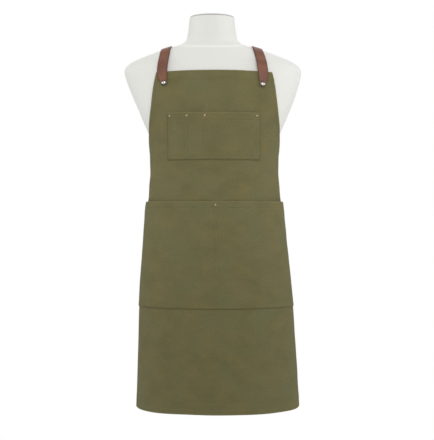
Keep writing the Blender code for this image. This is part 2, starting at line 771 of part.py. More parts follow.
def buckle(name, bar):
    """The buckle's wire frame and the prong that hinges on its bar."""
    low = (-FRAME_LENGTH, -FRAME_INNER - FRAME_WIRE)
    high = (0.0, FRAME_INNER + FRAME_WIRE)
    outline = [(x, y, 0.0) for x, y in rounded_rectangle(low, high, FRAME_CORNER)]
    wire(f"buckle_frame_{name}", outline, FRAME_WIRE, bar, NICKEL, closed=True)

    loop = FRAME_WIRE + PRONG_WIRE + CLEAR
    points = [(-FRAME_LENGTH - PRONG_PAST, 0, loop - CLEAR), (-FRAME_LENGTH, 0, loop), (-PRONG_BEND, 0, loop)]
    for degrees in range(90, -151, -20):
        angle = math.radians(degrees)
        points.append((loop * math.cos(angle), 0, loop * math.sin(angle)))
    wire(f"buckle_prong_{name}", points, PRONG_WIRE, bar, NICKEL)


def keeper(name, side):
    """The leather loop that holds the strap's tail down on the tab, and slides on both."""
    half = STRAP_WIDTH / 2 + KEEPER_CLEAR
    low = (-half, TAB_LOWER - TAB_THICK / 2 - KEEPER_CLEAR)
    high = (half, TAIL_HEIGHT + STRAP_THICK / 2 + KEEPER_CLEAR)
    inner = rounded_rectangle(low, high, KEEPER_CORNERS[0], 2)
    outer_low = (low[0] - KEEPER_WALL, low[1] - KEEPER_WALL)
    outer_high = (high[0] + KEEPER_WALL, high[1] + KEEPER_WALL)
    outer = rounded_rectangle(outer_low, outer_high, KEEPER_CORNERS[1], 3)
    turn = Matrix(((0, 0, 1), (1, 0, 0), (0, 1, 0))).to_4x4()
    place = run_frame(side, KEEPER_AT) @ turn
    flat_outline(f"strap_keeper_{name}", [outer, inner], KEEPER_WIDTH / 2, place, LEATHER)


def build():
    """Builds every part, in the order in which it is put together."""
    surface = form_torso()
    base_board()
    neck_cap()
    chest_holes = chest_pocket()
    lower_holes = lower_pocket()
    strap_holes = []
    for name, side in (("left", -1), ("right", 1)):
        strap_holes.append(leather_strap(name, side, surface))
        strap_holes.append(side_tab(name, side))
        buckle(name, run_frame(side, 0.0, BAR_HEIGHT))
        keeper(name, side)
    canvas_panel(chest_holes + lower_holes + strap_holes)


for old in list(bpy.data.objects):
    bpy.data.objects.remove(old)
PARTS = collection("apron_on_dress_form")
CUTTERS = collection("cutters", helper=True)
build()
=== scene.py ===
"""Looks of a canvas bib apron that is worn on a padded dress form.

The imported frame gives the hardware's places and the moving bodies. Round it this
script makes the cloth with its hems, pockets and thread, the leather straps with
their buckles, the rivets and studs, and the jersey cover of the form.

Metres, +Z up. The front of the apron faces -Y, and left means -X.
"""

import functools
import logging
import math
from collections.abc import Callable, Iterable, Sequence
from dataclasses import dataclass, field
from enum import Enum

import bmesh
import bpy
import numpy as np
from mathutils import Matrix, Vector
from mathutils.bvhtree import BVHTree


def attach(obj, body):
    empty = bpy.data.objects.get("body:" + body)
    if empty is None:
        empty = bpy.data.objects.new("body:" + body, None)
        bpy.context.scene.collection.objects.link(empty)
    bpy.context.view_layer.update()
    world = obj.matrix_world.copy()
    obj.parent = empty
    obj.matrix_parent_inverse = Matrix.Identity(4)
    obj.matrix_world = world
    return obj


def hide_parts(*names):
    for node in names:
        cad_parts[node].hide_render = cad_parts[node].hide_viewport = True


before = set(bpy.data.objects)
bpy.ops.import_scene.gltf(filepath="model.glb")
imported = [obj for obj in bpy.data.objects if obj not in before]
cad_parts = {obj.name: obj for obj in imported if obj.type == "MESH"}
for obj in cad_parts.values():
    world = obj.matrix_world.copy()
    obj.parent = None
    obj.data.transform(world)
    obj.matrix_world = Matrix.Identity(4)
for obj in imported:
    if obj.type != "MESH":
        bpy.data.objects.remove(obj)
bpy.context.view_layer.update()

LOG = logging.getLogger("apron")
MM = 0.001
ROOT = "apron_and_form"
SEAM_IN = 2 * MM
Line = list[tuple[Vector, Vector]]


class Side(Enum):
    """The side of the front on which a strap starts."""

    LEFT = -1
    RIGHT = 1

    @property
    def word(self) -> str:
        """The side's name, as node and piece names hold it."""
        return self.name.lower()


class Thread(Enum):
    """Kinds of thread: pitch, stitch length and thickness."""

    SEAM = (3.4 * MM, 2.5 * MM, 0.75 * MM)
    FINE = (2.6 * MM, 1.9 * MM, 0.5 * MM)


# ---------------------------------------------------------------- shader building


class ShaderBuilder:
    """Short calls for the nodes that the finishes are made of."""

    def __init__(self, name: str) -> None:
        """Starts a material with only its Principled shader."""
        self.material = bpy.data.materials.new(name)
        self.material.use_nodes = True
        self.tree = self.material.node_tree
        self.shader = self.tree.nodes["Principled BSDF"]

    def add(self, kind: str, inputs: dict | None = None, **settings: object) -> bpy.types.Node:
        """Adds a node, sets it and joins its inputs.

        Args:
            kind: The node's Blender type, without ShaderNode.
            inputs: Socket name or number to a value, or to the socket it is joined to.
            settings: Attributes of the node itself.

        Returns:
            The new node.
        """
        node = self.tree.nodes.new("ShaderNode" + kind)
        for name, value in settings.items():
            setattr(node, name, value)
        for name, value in (inputs or {}).items():
            self.join(node.inputs[name], value)
        return node

    def join(self, socket: bpy.types.NodeSocket, value: object) -> None:
        """Links a socket to another, or sets its value.

        Args:
            socket: The input to fill.
            value: A socket to join it to, or its value.
        """
        if isinstance(value, bpy.types.NodeSocket):
            self.tree.links.new(value, socket)
        else:
            socket.default_value = value

    def math(self, operation: str, *values: object) -> bpy.types.NodeSocket:
        """A Math node's result."""
        node = self.add("Math", dict(enumerate(values)), operation=operation)
        return node.outputs[0]

    def noise(self, where: object, scale: float, detail: float = 3.0) -> bpy.types.NodeSocket:
        """Smooth noise from 0 to 1."""
        node = self.add("TexNoise", {"Vector": where, "Scale": scale, "Detail": detail})
        return node.outputs["Fac"]

    def stretched(self, where: object, scale: Sequence[float]) -> bpy.types.NodeSocket:
        """A texture place scaled by its own amount along each axis."""
        node = self.add("Mapping", {"Vector": where, "Scale": tuple(scale)})
        return node.outputs[0]

    def ramp(
        self, value: object, low: float, high: float, to_low: float, to_high: float,
    ) -> bpy.types.NodeSocket:
        """A value carried from one range to another, and held inside it.

        Args:
            value: The socket that is carried over.
            low: Start of its range.
            high: End of its range.
            to_low: Start of the new range.
            to_high: End of the new range.

        Returns:
            The carried value's socket.
        """
        names = ("From Min", "From Max", "To Min", "To Max")
        inputs = dict(zip(names, (low, high, to_low, to_high)))
        return self.add("MapRange", {"Value": value, **inputs}).outputs["Result"]

    def tint(
        self, amount: object, first: object, second: object, mode: str = "MIX",
    ) -> bpy.types.NodeSocket:
        """Two colours mixed by an amount from 0 to 1.

        Args:
            amount: Share of the second colour.
            first: Colour at 0.
            second: Colour at 1.
            mode: Blender's blend type.

        Returns:
            The mixed colour's socket.
        """
        node = self.add("Mix", data_type="RGBA", blend_type=mode)
        self.join(node.inputs["Factor"], amount)
        self.join(node.inputs["A"], first)
        self.join(node.inputs["B"], second)
        return node.outputs["Result"]

    def finish(
        self, color: object, roughness: object, height: object, depth: float, **fixed: float,
    ) -> bpy.types.Material:
        """Joins colour, roughness and bump to the shader.

        Args:
            color: Socket or value of the base colour.
            roughness: Socket or value of the roughness.
            height: Socket that gives the surface's fine relief.
            depth: How deep the relief is, in metres.
            fixed: Principled inputs that are the same all over, with _ for a space.

        Returns:
            The finished material.
        """
        bump = self.add("Bump", {"Height": height, "Distance": depth, "Strength": 1.0})
        self.join(self.shader.inputs["Base Color"], color)
        self.join(self.shader.inputs["Roughness"], roughness)
        self.join(self.shader.inputs["Normal"], bump.outputs[0])
        for name, value in fixed.items():
            self.shader.inputs[name.replace("_", " ")].default_value = value
        return self.material


def opaque(color: Sequence[float], level: float = 1.0) -> tuple[float, float, float, float]:
    """A colour times a level, with full alpha."""
    return (color[0] * level, color[1] * level, color[2] * level, 1.0)


@dataclass(frozen=True)
class CanvasFinish:
    """Olive cotton canvas: plain weave, slubs, mottled dye and pale wear on folds.

    The warm, deep and cool casts multiply the colour in patches. Painted shade darkens the
    cloth toward the hem, from the second height down to the first, by the levels after them.
    """

    name: str = "olive_canvas"
    color: tuple[float, float, float] = (0.158, 0.1405, 0.0600)
    pitch: float = 1.1 * MM
    relief: float = 0.22 * MM
    hem_dye: tuple[float, float, float, float] = (-0.12, 0.28, 0.87, 1.0)
    warm: tuple[float, float, float] = (1.10, 1.03, 0.96)
    deep: tuple[float, float, float] = (0.80, 0.85, 0.84)
    cool: tuple[float, float, float] = (0.92, 1.01, 1.08)

    @functools.cached_property
    def material(self) -> bpy.types.Material:
        """The cloth's material, which follows its UV map in metres."""
        shader = ShaderBuilder(self.name)
        cloth = shader.add("UVMap", uv_map="cloth").outputs[0]
        parts = shader.add("SeparateXYZ", {0: cloth})
        turns = [shader.math("MULTIPLY", parts.outputs[i], math.pi / self.pitch) for i in (0, 1)]
        waves = [shader.math("SINE", turn) for turn in turns]
        weave = shader.math("ABSOLUTE", shader.math("MULTIPLY", *waves))
        weft = shader.noise(shader.stretched(cloth, (38.0, 900.0, 1.0)), 1.0, 2.0)
        warp = shader.noise(shader.stretched(cloth, (900.0, 30.0, 1.0)), 1.0, 2.0)
        mottle = shader.noise(cloth, 42.0, 5.0)
        blotch = shader.noise(shader.stretched(cloth, (20.0, 27.0, 1.0)), 1.0, 5.0)
        slub = shader.math("ADD", shader.math("MULTIPLY", weft, 0.55), shader.math("MULTIPLY", warp, 0.45))
        lively = shader.ramp(slub, 0.3, 0.7, 0.0, 1.0)
        base = shader.tint(lively, opaque(self.color, 0.90), opaque(self.color, 1.11))
        hue = shader.noise(cloth, 12.0, 3.0)
        casts = (
            (shader.ramp(mottle, 0.35, 0.7, 0.0, 0.8), self.warm),
            (shader.ramp(blotch, 0.38, 0.66, 0.0, 0.75), self.deep),
            (shader.ramp(hue, 0.44, 0.64, 0.0, 0.75), self.cool),
        )
        for amount, cast in casts:
            base = shader.tint(amount, base, opaque([part * gain for part, gain in zip(self.color, cast)]))
        speck = shader.noise(cloth, 300.0, 2.0)
        base = shader.tint(1.0, base, shader.ramp(speck, 0.3, 0.7, 0.90, 1.10), "MULTIPLY")
        # This attribute holds pale wear above 0 and painted shade below 0, along the pockets' sewn sides
        # and foot.
        wear = shader.add("Attribute", attribute_name="wear").outputs["Fac"]
        rub = shader.math("MULTIPLY", wear, shader.ramp(slub, 0.35, 0.65, 0.25, 0.9))
        base = shader.tint(rub, base, opaque(self.color, 1.42))
        # Painted shade: the cloth is darkened where the attribute is below 0.
        base = shader.tint(shader.math("MULTIPLY", wear, -1.0), base, opaque(self.color, 0.42))
        place = shader.add("TexCoord").outputs["Object"]
        rise = shader.add("SeparateXYZ", {0: place}).outputs["Z"]
        # Painted shade: the cloth darkens toward the hem, standing in for the light that falls from above.
        base = shader.tint(1.0, base, shader.ramp(rise, *self.hem_dye), "MULTIPLY")
        height = shader.math("ADD", weave, shader.math("MULTIPLY", slub, 1.3))
        rough = shader.ramp(slub, 0.3, 0.7, 0.86, 0.96)
        return shader.finish(base, rough, height, self.relief, Sheen_Weight=0.02, Sheen_Roughness=0.5,
                             Specular_IOR_Level=0.22)


@dataclass(frozen=True)
class ThreadFinish:
    """Tone-on-tone sewing thread with its twist."""

    name: str = "olive_thread"
    color: tuple[float, float, float] = (0.150, 0.132, 0.056)

    @functools.cached_property
    def material(self) -> bpy.types.Material:
        """The thread's material."""
        shader = ShaderBuilder(self.name)
        place = shader.add("TexCoord").outputs["Object"]
        twist = shader.noise(place, 2600.0, 1.0)
        shade = shader.noise(place, 60.0, 2.0)
        lively = shader.ramp(shade, 0.3, 0.7, 0.0, 1.0)
        base = shader.tint(lively, opaque(self.color, 0.85), opaque(self.color, 1.25))
        return shader.finish(base, 0.7, twist, 0.08 * MM, Specular_IOR_Level=0.3)


@dataclass(frozen=True)
class JerseyFinish:
    """Off-white jersey pulled tight over padding, with fine ribs and faint dust."""

    name: str = "white_jersey"
    color: tuple[float, float, float] = (0.745, 0.742, 0.708)

    @functools.cached_property
    def material(self) -> bpy.types.Material:
        """The jersey's material, on object coordinates."""
        shader = ShaderBuilder(self.name)
        place = shader.add("TexCoord").outputs["Object"]
        ribs = shader.noise(shader.stretched(place, (1500.0, 1500.0, 160.0)), 1.0, 1.0)
        pile = shader.noise(place, 900.0, 2.0)
        dust = shader.noise(place, 7.0, 4.0)
        seam = shader.add("Attribute", attribute_name="seam").outputs["Fac"]
        lively = shader.ramp(ribs, 0.3, 0.7, 0.0, 1.0)
        base = shader.tint(lively, opaque(self.color, 0.965), opaque(self.color, 1.02))
        grey = opaque((self.color[0] * 0.955, self.color[1] * 0.955, self.color[2] * 0.94))
        base = shader.tint(shader.ramp(dust, 0.4, 0.7, 0.0, 0.6), base, grey)
        base = shader.tint(shader.math("MULTIPLY", seam, 0.22), base, opaque(self.color, 0.62))
        piping = shader.add("Attribute", attribute_name="piping").outputs["Fac"]
        base = shader.tint(shader.math("MULTIPLY", piping, 0.7), base, opaque(self.color, 1.16))
        height = shader.math("ADD", ribs, shader.math("MULTIPLY", pile, 0.5))
        return shader.finish(base, 0.93, height, 0.16 * MM, Sheen_Weight=0.35, Sheen_Roughness=0.5,
                             Specular_IOR_Level=0.2)


@dataclass(frozen=True)
class LeatherFinish:
    """Brown waxed leather: pebbled grain, pull-up mottling and burnished edges."""

    name: str = "brown_leather"
    color: tuple[float, float, float] = (0.180, 0.069, 0.0375)

    @functools.cached_property
    def material(self) -> bpy.types.Material:
        """The leather's material, with its edge attribute."""
        shader = ShaderBuilder(self.name)
        place = shader.add("TexCoord").outputs["Object"]
        cells = shader.add("TexVoronoi", {"Vector": place, "Scale": 780.0}, feature="DISTANCE_TO_EDGE")
        grain = shader.ramp(cells.outputs["Distance"], 0.0, 0.35, 0.0, 1.0)
        creases = shader.noise(shader.stretched(place, (120.0, 120.0, 420.0)), 1.0, 4.0)
        mottle = shader.noise(place, 34.0, 4.0)
        lively = shader.ramp(mottle, 0.3, 0.7, 0.0, 1.0)
        base = shader.tint(lively, opaque(self.color, 0.80), opaque(self.color, 1.22))
        base = shader.tint(shader.ramp(creases, 0.55, 0.75, 0.0, 0.35), base, opaque(self.color, 1.6))
        edge = shader.add("Attribute", attribute_name="edge").outputs["Fac"]
        base = shader.tint(shader.math("MULTIPLY", edge, 0.8), base, opaque(self.color, 0.34))
        height = shader.math("ADD", grain, shader.math("MULTIPLY", creases, 0.8))
        rough = shader.ramp(mottle, 0.3, 0.7, 0.42, 0.62)
        return shader.finish(base, rough, height, 0.14 * MM, Specular_IOR_Level=0.45)


@dataclass(frozen=True)
class MetalFinish:
    """Metal with brushed streaks, handling marks and painted shade in its hollows."""

    name: str
    color: tuple[float, float, float]
    dark: tuple[float, float, float]
    roughness: float

    @functools.cached_property
    def material(self) -> bpy.types.Material:
        """The metal's material."""
        shader = ShaderBuilder(self.name)
        place = shader.add("TexCoord").outputs["Object"]
        patina = shader.noise(place, 420.0, 4.0)
        marks = shader.noise(shader.stretched(place, (900.0, 900.0, 5200.0)), 1.0, 2.0)
        base = shader.tint(shader.ramp(patina, 0.42, 0.68, 0.0, 0.7), opaque(self.color), opaque(self.dark))
        hollow = shader.add("Attribute", attribute_name="hollow").outputs["Fac"]
        # Painted shade: the dark colour, deepened further, is laid where the attribute marks a hollow or a
        # flange.
        base = shader.tint(hollow, base, opaque(self.dark, 0.35))
        rough = shader.ramp(marks, 0.2, 0.8, self.roughness * 0.75, self.roughness * 1.3)
        return shader.finish(base, rough, marks, 0.02 * MM, Metallic=1.0)


@dataclass(frozen=True)
class PlywoodFinish:
    """Sanded plywood with long grain and a varnish worn thin."""

    name: str = "sanded_plywood"
    color: tuple[float, float, float] = (0.58, 0.42, 0.25)

    @functools.cached_property
    def material(self) -> bpy.types.Material:
        """The board's material."""
        shader = ShaderBuilder(self.name)
        place = shader.add("TexCoord").outputs["Object"]
        grain = shader.noise(shader.stretched(place, (6.0, 140.0, 90.0)), 1.0, 6.0)
        rings = shader.noise(shader.stretched(place, (2.0, 22.0, 12.0)), 1.0, 3.0)
        waves = {"Vector": place, "Scale": 170.0, "Distortion": 0.4}
        plies = shader.add("TexWave", waves, bands_direction="Z")
        lively = shader.ramp(grain, 0.35, 0.7, 0.0, 1.0)
        base = shader.tint(lively, opaque(self.color), opaque(self.color, 0.68))
        base = shader.tint(shader.ramp(rings, 0.45, 0.6, 0.0, 0.4), base, opaque(self.color, 0.55))
        layers = shader.math("MULTIPLY", plies.outputs["Fac"], 0.2)
        base = shader.tint(layers, base, opaque(self.color, 0.5))
        rough = shader.ramp(grain, 0.3, 0.7, 0.5, 0.7)
        return shader.finish(base, rough, grain, 0.1 * MM, Coat_Weight=0.1)


CANVAS = CanvasFinish()
THREAD = ThreadFinish()
JERSEY = JerseyFinish()
FELT = JerseyFinish("grey_felt", (0.47, 0.45, 0.43))
LEATHER = LeatherFinish()
BRASS = MetalFinish("antique_brass", (0.50, 0.43, 0.28), (0.11, 0.08, 0.04), 0.33)
NICKEL = MetalFinish("polished_nickel", (0.80, 0.745, 0.69), (0.42, 0.37, 0.32), 0.20)
STEEL = MetalFinish("zinc_steel", (0.58, 0.58, 0.60), (0.34, 0.34, 0.35), 0.34)
PLYWOOD = PlywoodFinish()


# ---------------------------------------------------------------- mesh building


def smooth_step(value: np.ndarray) -> np.ndarray:
    """0 below 0, 1 above 1, and an even curve between."""
    held = np.clip(value, 0.0, 1.0)
    return held * held * (3 - 2 * held)


def ridge(distance: np.ndarray, width: float) -> np.ndarray:
    """1 on a line, falling to 0 a few widths away."""
    return np.exp(-((distance / width) ** 2))


def add_piece(
    name: str, mesh: bpy.types.Mesh, material: bpy.types.Material, body: str = ROOT,
) -> bpy.types.Object:
    """Links a finished mesh as a smooth piece that rides on a body.

    Args:
        name: The piece's name.
        mesh: Its finished mesh.
        material: Its finish, where the mesh has none yet.
        body: The body that it rides on.

    Returns:
        The piece.
    """
    piece = bpy.data.objects.new(name, mesh)
    bpy.context.scene.collection.objects.link(piece)
    if not mesh.materials:
        mesh.materials.append(material)
    mesh.shade_smooth()
    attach(piece, body)
    return piece


def mesh_from(name: str, points: np.ndarray, faces: Sequence[Sequence[int]]) -> bpy.types.Mesh:
    """A mesh from arrays of points and faces.

    Args:
        name: The mesh's name.
        points: Points as rows of x, y and z.
        faces: Point numbers of each face.

    Returns:
        The mesh.
    """
    mesh = bpy.data.meshes.new(name)
    corners = faces if isinstance(faces, list) else faces.tolist()
    mesh.from_pydata(np.asarray(points, float).tolist(), [], corners)
    mesh.validate()
    return mesh


def set_attribute(mesh: bpy.types.Mesh, name: str, values: np.ndarray) -> None:
    """Stores one number for each point of a mesh."""
    stored = mesh.attributes.new(name, "FLOAT", "POINT")
    stored.data.foreach_set("value", np.asarray(values, np.float32).ravel())


def grid_faces(rows: int, columns: int, start: int = 0, closed: bool = False) -> np.ndarray:
    """Quads of a grid of points in rows; closed joins the last column to the first.

    Args:
        rows: How many rows of points.
        columns: How many points in a row.
        start: Number of the first point.
        closed: Whether each row is a ring.

    Returns:
        Point numbers of each quad.
    """
    across = np.arange(columns if closed else columns - 1)
    up = np.arange(rows - 1)[:, None]
    beside = (across + 1) % columns
    row, above = up * columns, (up + 1) * columns
    corners = [row + across, row + beside, above + beside, above + across]
    return start + np.stack(corners, axis=-1).reshape(-1, 4)


def border(rows: int, columns: int) -> np.ndarray:
    """Numbers of a grid's border points, anticlockwise."""
    index = np.arange(rows * columns).reshape(rows, columns)
    return np.concatenate([index[0, :-1], index[:-1, -1], index[-1, :0:-1], index[:0:-1, 0]])


def cloth_shell(
    name: str, outer: np.ndarray, inner: np.ndarray, flat: np.ndarray, wear: np.ndarray,
) -> bpy.types.Mesh:
    """A closed sheet from its two faces, with a rounded edge all round.

    Args:
        name: The mesh's name.
        outer: Points of the face that shows, as rows, columns, xyz.
        inner: Points of the other face, in the same order.
        flat: Each point's place on the flat cloth in metres, as rows, columns, 2.
        wear: How rubbed the cloth is at each point, from 0 to 1; below 0 it is
        painted shade along a sewn edge.

    Returns:
        The mesh, with its UV map "cloth" and its attribute "wear".
    """
    rows, columns = outer.shape[:2]
    count = rows * columns
    rim = border(rows, columns)
    middle = (outer + inner) / 2
    inward = np.pad(middle, ((1, 1), (1, 1), (0, 0)), mode="edge")
    inward = (inward[:-2, 1:-1] + inward[2:, 1:-1] + inward[1:-1, :-2] + inward[1:-1, 2:]) / 4
    away = (middle - inward).reshape(-1, 3)[rim]
    away /= np.linalg.norm(away, axis=1, keepdims=True) + 1e-12
    half = np.linalg.norm(outer - inner, axis=2).reshape(-1)[rim] / 2
    edge = middle.reshape(-1, 3)[rim] + away * half[:, None] * 0.8
    points = np.concatenate([outer.reshape(-1, 3), inner.reshape(-1, 3), edge])
    faces = [grid_faces(rows, columns), grid_faces(rows, columns, count)[:, ::-1]]
    after = np.roll(rim, -1)
    ring = 2 * count + np.arange(len(rim))
    ring_after = np.roll(ring, -1)
    faces.append(np.stack([after, rim, ring, ring_after], axis=1))
    faces.append(np.stack([ring_after, ring, rim + count, after + count], axis=1))
    mesh = mesh_from(name, points, np.concatenate(faces))
    flat_list = flat.reshape(-1, 2)
    places = np.concatenate([flat_list, flat_list, flat_list[rim]])
    corners = np.empty(len(mesh.loops), np.int32)
    mesh.loops.foreach_get("vertex_index", corners)
    mesh.uv_layers.new(name="cloth").data.foreach_set("uv", places[corners].astype(np.float32).ravel())
    worn_and_shaded = wear.reshape(-1)
    set_attribute(mesh, "wear", np.concatenate([worn_and_shaded, worn_and_shaded * 0.4, np.maximum(worn_and_shaded[rim], 0.6)]))
    return mesh


def band_section(width: float, thickness: float) -> tuple[np.ndarray, np.ndarray]:
    """Outline of a leather band: across, outwards; and how near its edge each point is.

    Args:
        width: The band's width.
        thickness: The leather's thickness.

    Returns:
        The outline's two rows, and each point's edge value from 0 to 1.
    """
    round_off = thickness * 0.5
    across, up, edge = [], [], []
    for sign, start in ((1, -90), (-1, 90)):
        for degrees in range(start, start + 181, 30):
            angle = math.radians(degrees)
            across.append(sign * (width / 2 - round_off) + round_off * math.cos(angle))
            up.append(round_off * math.sin(angle))
            edge.append(1.0)
        for share in (0.94, 0.6, 0.2, -0.2, -0.6, -0.94):
            across.append(sign * share * (width / 2 - round_off))
            up.append(sign * (round_off + thickness * 0.05 * (1 - share**2)))
            edge.append(0.35 if abs(share) > 0.9 else 0.0)
    return np.array([across, up]), np.array(edge)


def band_mesh(name: str, centres: Sequence[Vector], outs: Sequence[Vector], widths: Sequence[float],
              thickness: float, closed: bool = False) -> bpy.types.Mesh:
    """A leather band swept along its centre points.

    Args:
        name: The mesh's name.
        centres: Points along the middle of the band.
        outs: Direction of the band's face at each point.
        widths: Width of the band at each point.
        thickness: Thickness of the leather.
        closed: Whether the band is a loop.

    Returns:
        The mesh, with its attribute "edge".
    """
    count = len(centres)
    rings, edges = [], []
    for i in range(count):
        before, after = (i - 1, (i + 1) % count) if closed else (max(i - 1, 0), min(i + 1, count - 1))
        tangent = (centres[after] - centres[before]).normalized()
        sideways = tangent.cross(outs[i]).normalized()
        out = sideways.cross(tangent).normalized()
        outline, edge = band_section(max(widths[i], 1.3 * thickness), thickness)
        across = outline[0][:, None] * np.array(sideways)
        rings.append(np.array(centres[i]) + across + outline[1][:, None] * np.array(out))
        edges.append(edge)
    around = len(edges[0])
    faces = grid_faces(count, around, closed=True).tolist()
    if closed:
        last = (count - 1) * around
        faces += [[last + j, last + (j + 1) % around, (j + 1) % around, j] for j in range(around)]
    else:
        faces.append(list(range(around))[::-1])
        faces.append([(count - 1) * around + j for j in range(around)])
    mesh = mesh_from(name, np.concatenate(rings), faces)
    set_attribute(mesh, "edge", np.concatenate(edges))
    return face_out(mesh)


def face_out(mesh: bpy.types.Mesh) -> bpy.types.Mesh:
    """Turns a closed mesh's faces outwards."""
    bm = bmesh.new()
    bm.from_mesh(mesh)
    bmesh.ops.recalc_face_normals(bm, faces=bm.faces)
    bm.to_mesh(mesh)
    bm.free()
    return mesh


def wire_mesh(
    name: str, path: Sequence[Vector], radius: Sequence[float], closed: bool = False,
) -> bpy.types.Mesh:
    """A round wire of varying radius along a flat or gently turning path.

    Args:
        name: The mesh's name.
        path: Points along the wire.
        radius: The wire's radius at each point.
        closed: Whether the wire is a ring.

    Returns:
        The mesh, with closed ends.
    """
    curve = bpy.data.curves.new(name, "CURVE")
    curve.dimensions = "3D"
    curve.bevel_depth = 1.0
    curve.bevel_resolution = 6
    curve.use_fill_caps = not closed
    spline = curve.splines.new("POLY")
    spline.points.add(len(path) - 1)
    for point, place, size in zip(spline.points, path, radius):
        point.co = (*place, 1.0)
        point.radius = size
    spline.use_cyclic_u = closed
    holder = bpy.data.objects.new(name, curve)
    bpy.context.scene.collection.objects.link(holder)
    mesh = bpy.data.meshes.new_from_object(holder.evaluated_get(bpy.context.evaluated_depsgraph_get()))
    bpy.data.objects.remove(holder)
    mesh.name = name
    bm = bmesh.new()
    bm.from_mesh(mesh)
    bmesh.ops.remove_doubles(bm, verts=bm.verts, dist=1e-6)
    bm.to_mesh(mesh)
    bm.free()
    return face_out(mesh)


def lathe_mesh(name: str, profile: Sequence[tuple[float, float]], steps: int) -> bpy.types.Mesh:
    """A closed turned shape about Z, from (radius, height) points, top to bottom.

    Args:
        name: The mesh's name.
        profile: The outline's points.
        steps: How many faces go round.

    Returns:
        The mesh.
    """
    angles = np.linspace(0, math.tau, steps, endpoint=False)
    inner = [point for point in profile if point[0] > 0]
    circle = np.stack([np.cos(angles), np.sin(angles), np.zeros(steps)], axis=1)
    rings = [r * circle + (0.0, 0.0, z) for r, z in inner]
    faces = grid_faces(len(inner), steps, closed=True).tolist()
    faces.append(list(range(steps)))
    faces.append([(len(inner) - 1) * steps + i for i in range(steps)])
    return face_out(mesh_from(name, np.concatenate(rings), faces))


def spline_through(points: Iterable[Vector], steps: object) -> tuple[list[Vector], float]:
    """Points on a smooth curve through the given ones.

    Args:
        points: The points that the curve goes through.
        steps: How many even points are wanted, or a list of distances along the curve.

    Returns:
        The points, and the curve's length.
    """
    knots = np.array([tuple(point) for point in points])
    gaps = np.linalg.norm(np.diff(knots, axis=0), axis=1)
    rates = np.diff(knots, axis=0) / gaps[:, None]
    inner = (rates[:-1] * gaps[1:, None] + rates[1:] * gaps[:-1, None]) / (gaps[1:] + gaps[:-1])[:, None]
    slopes = np.vstack([rates[:1], inner, rates[-1:]])
    t = np.linspace(0, 1, 16, endpoint=False)[:, None]
    pieces = [
        (2 * t**3 - 3 * t**2 + 1) * knots[i] + (t**3 - 2 * t**2 + t) * gap * slopes[i]
        + (3 * t**2 - 2 * t**3) * knots[i + 1] + (t**3 - t**2) * gap * slopes[i + 1]
        for i, gap in enumerate(gaps)
    ]
    fine = np.concatenate([*pieces, knots[-1:]])
    along = np.concatenate([[0], np.cumsum(np.linalg.norm(np.diff(fine, axis=0), axis=1))])
    even = steps if np.ndim(steps) else np.linspace(0, along[-1], steps)
    return [Vector([np.interp(s, along, fine[:, k]) for k in range(3)]) for s in even], along[-1]


def slot_cutter(size: Sequence[float], place: Matrix) -> bmesh.types.BMesh:
    """A block that cuts a slot, at a place.

    Args:
        size: The block's size along X, Y and Z.
        place: The block's middle and directions.

    Returns:
        The block, as a cutter that others can be added to.
    """
    cutter = bmesh.new()
    block = bmesh.ops.create_cube(cutter, size=1.0)["verts"]
    bmesh.ops.scale(cutter, vec=size, verts=block)
    bmesh.ops.transform(cutter, matrix=place, verts=block)
    return cutter


def cut_away(mesh: bpy.types.Mesh, cutter: bmesh.types.BMesh) -> bpy.types.Mesh:
    """The mesh with the cutter's closed shapes taken out; the cutter is freed.

    Args:
        mesh: The closed mesh to cut.
        cutter: Closed shapes, none touching another.

    Returns:
        The cut mesh.
    """
    body = bpy.data.objects.new("cut_body", mesh)
    tool_mesh = bpy.data.meshes.new("cut_tool")
    cutter.to_mesh(tool_mesh)
    cutter.free()
    tool = bpy.data.objects.new("cut_tool", tool_mesh)
    for piece in (body, tool):
        bpy.context.scene.collection.objects.link(piece)
    modifier = body.modifiers.new("cut", "BOOLEAN")
    modifier.operation = "DIFFERENCE"
    modifier.object = tool
    result = bpy.data.meshes.new_from_object(body.evaluated_get(bpy.context.evaluated_depsgraph_get()))
    result.name = mesh.name
    bpy.data.objects.remove(body)
    bpy.data.objects.remove(tool)
    return result


# ---------------------------------------------------------------- surfaces


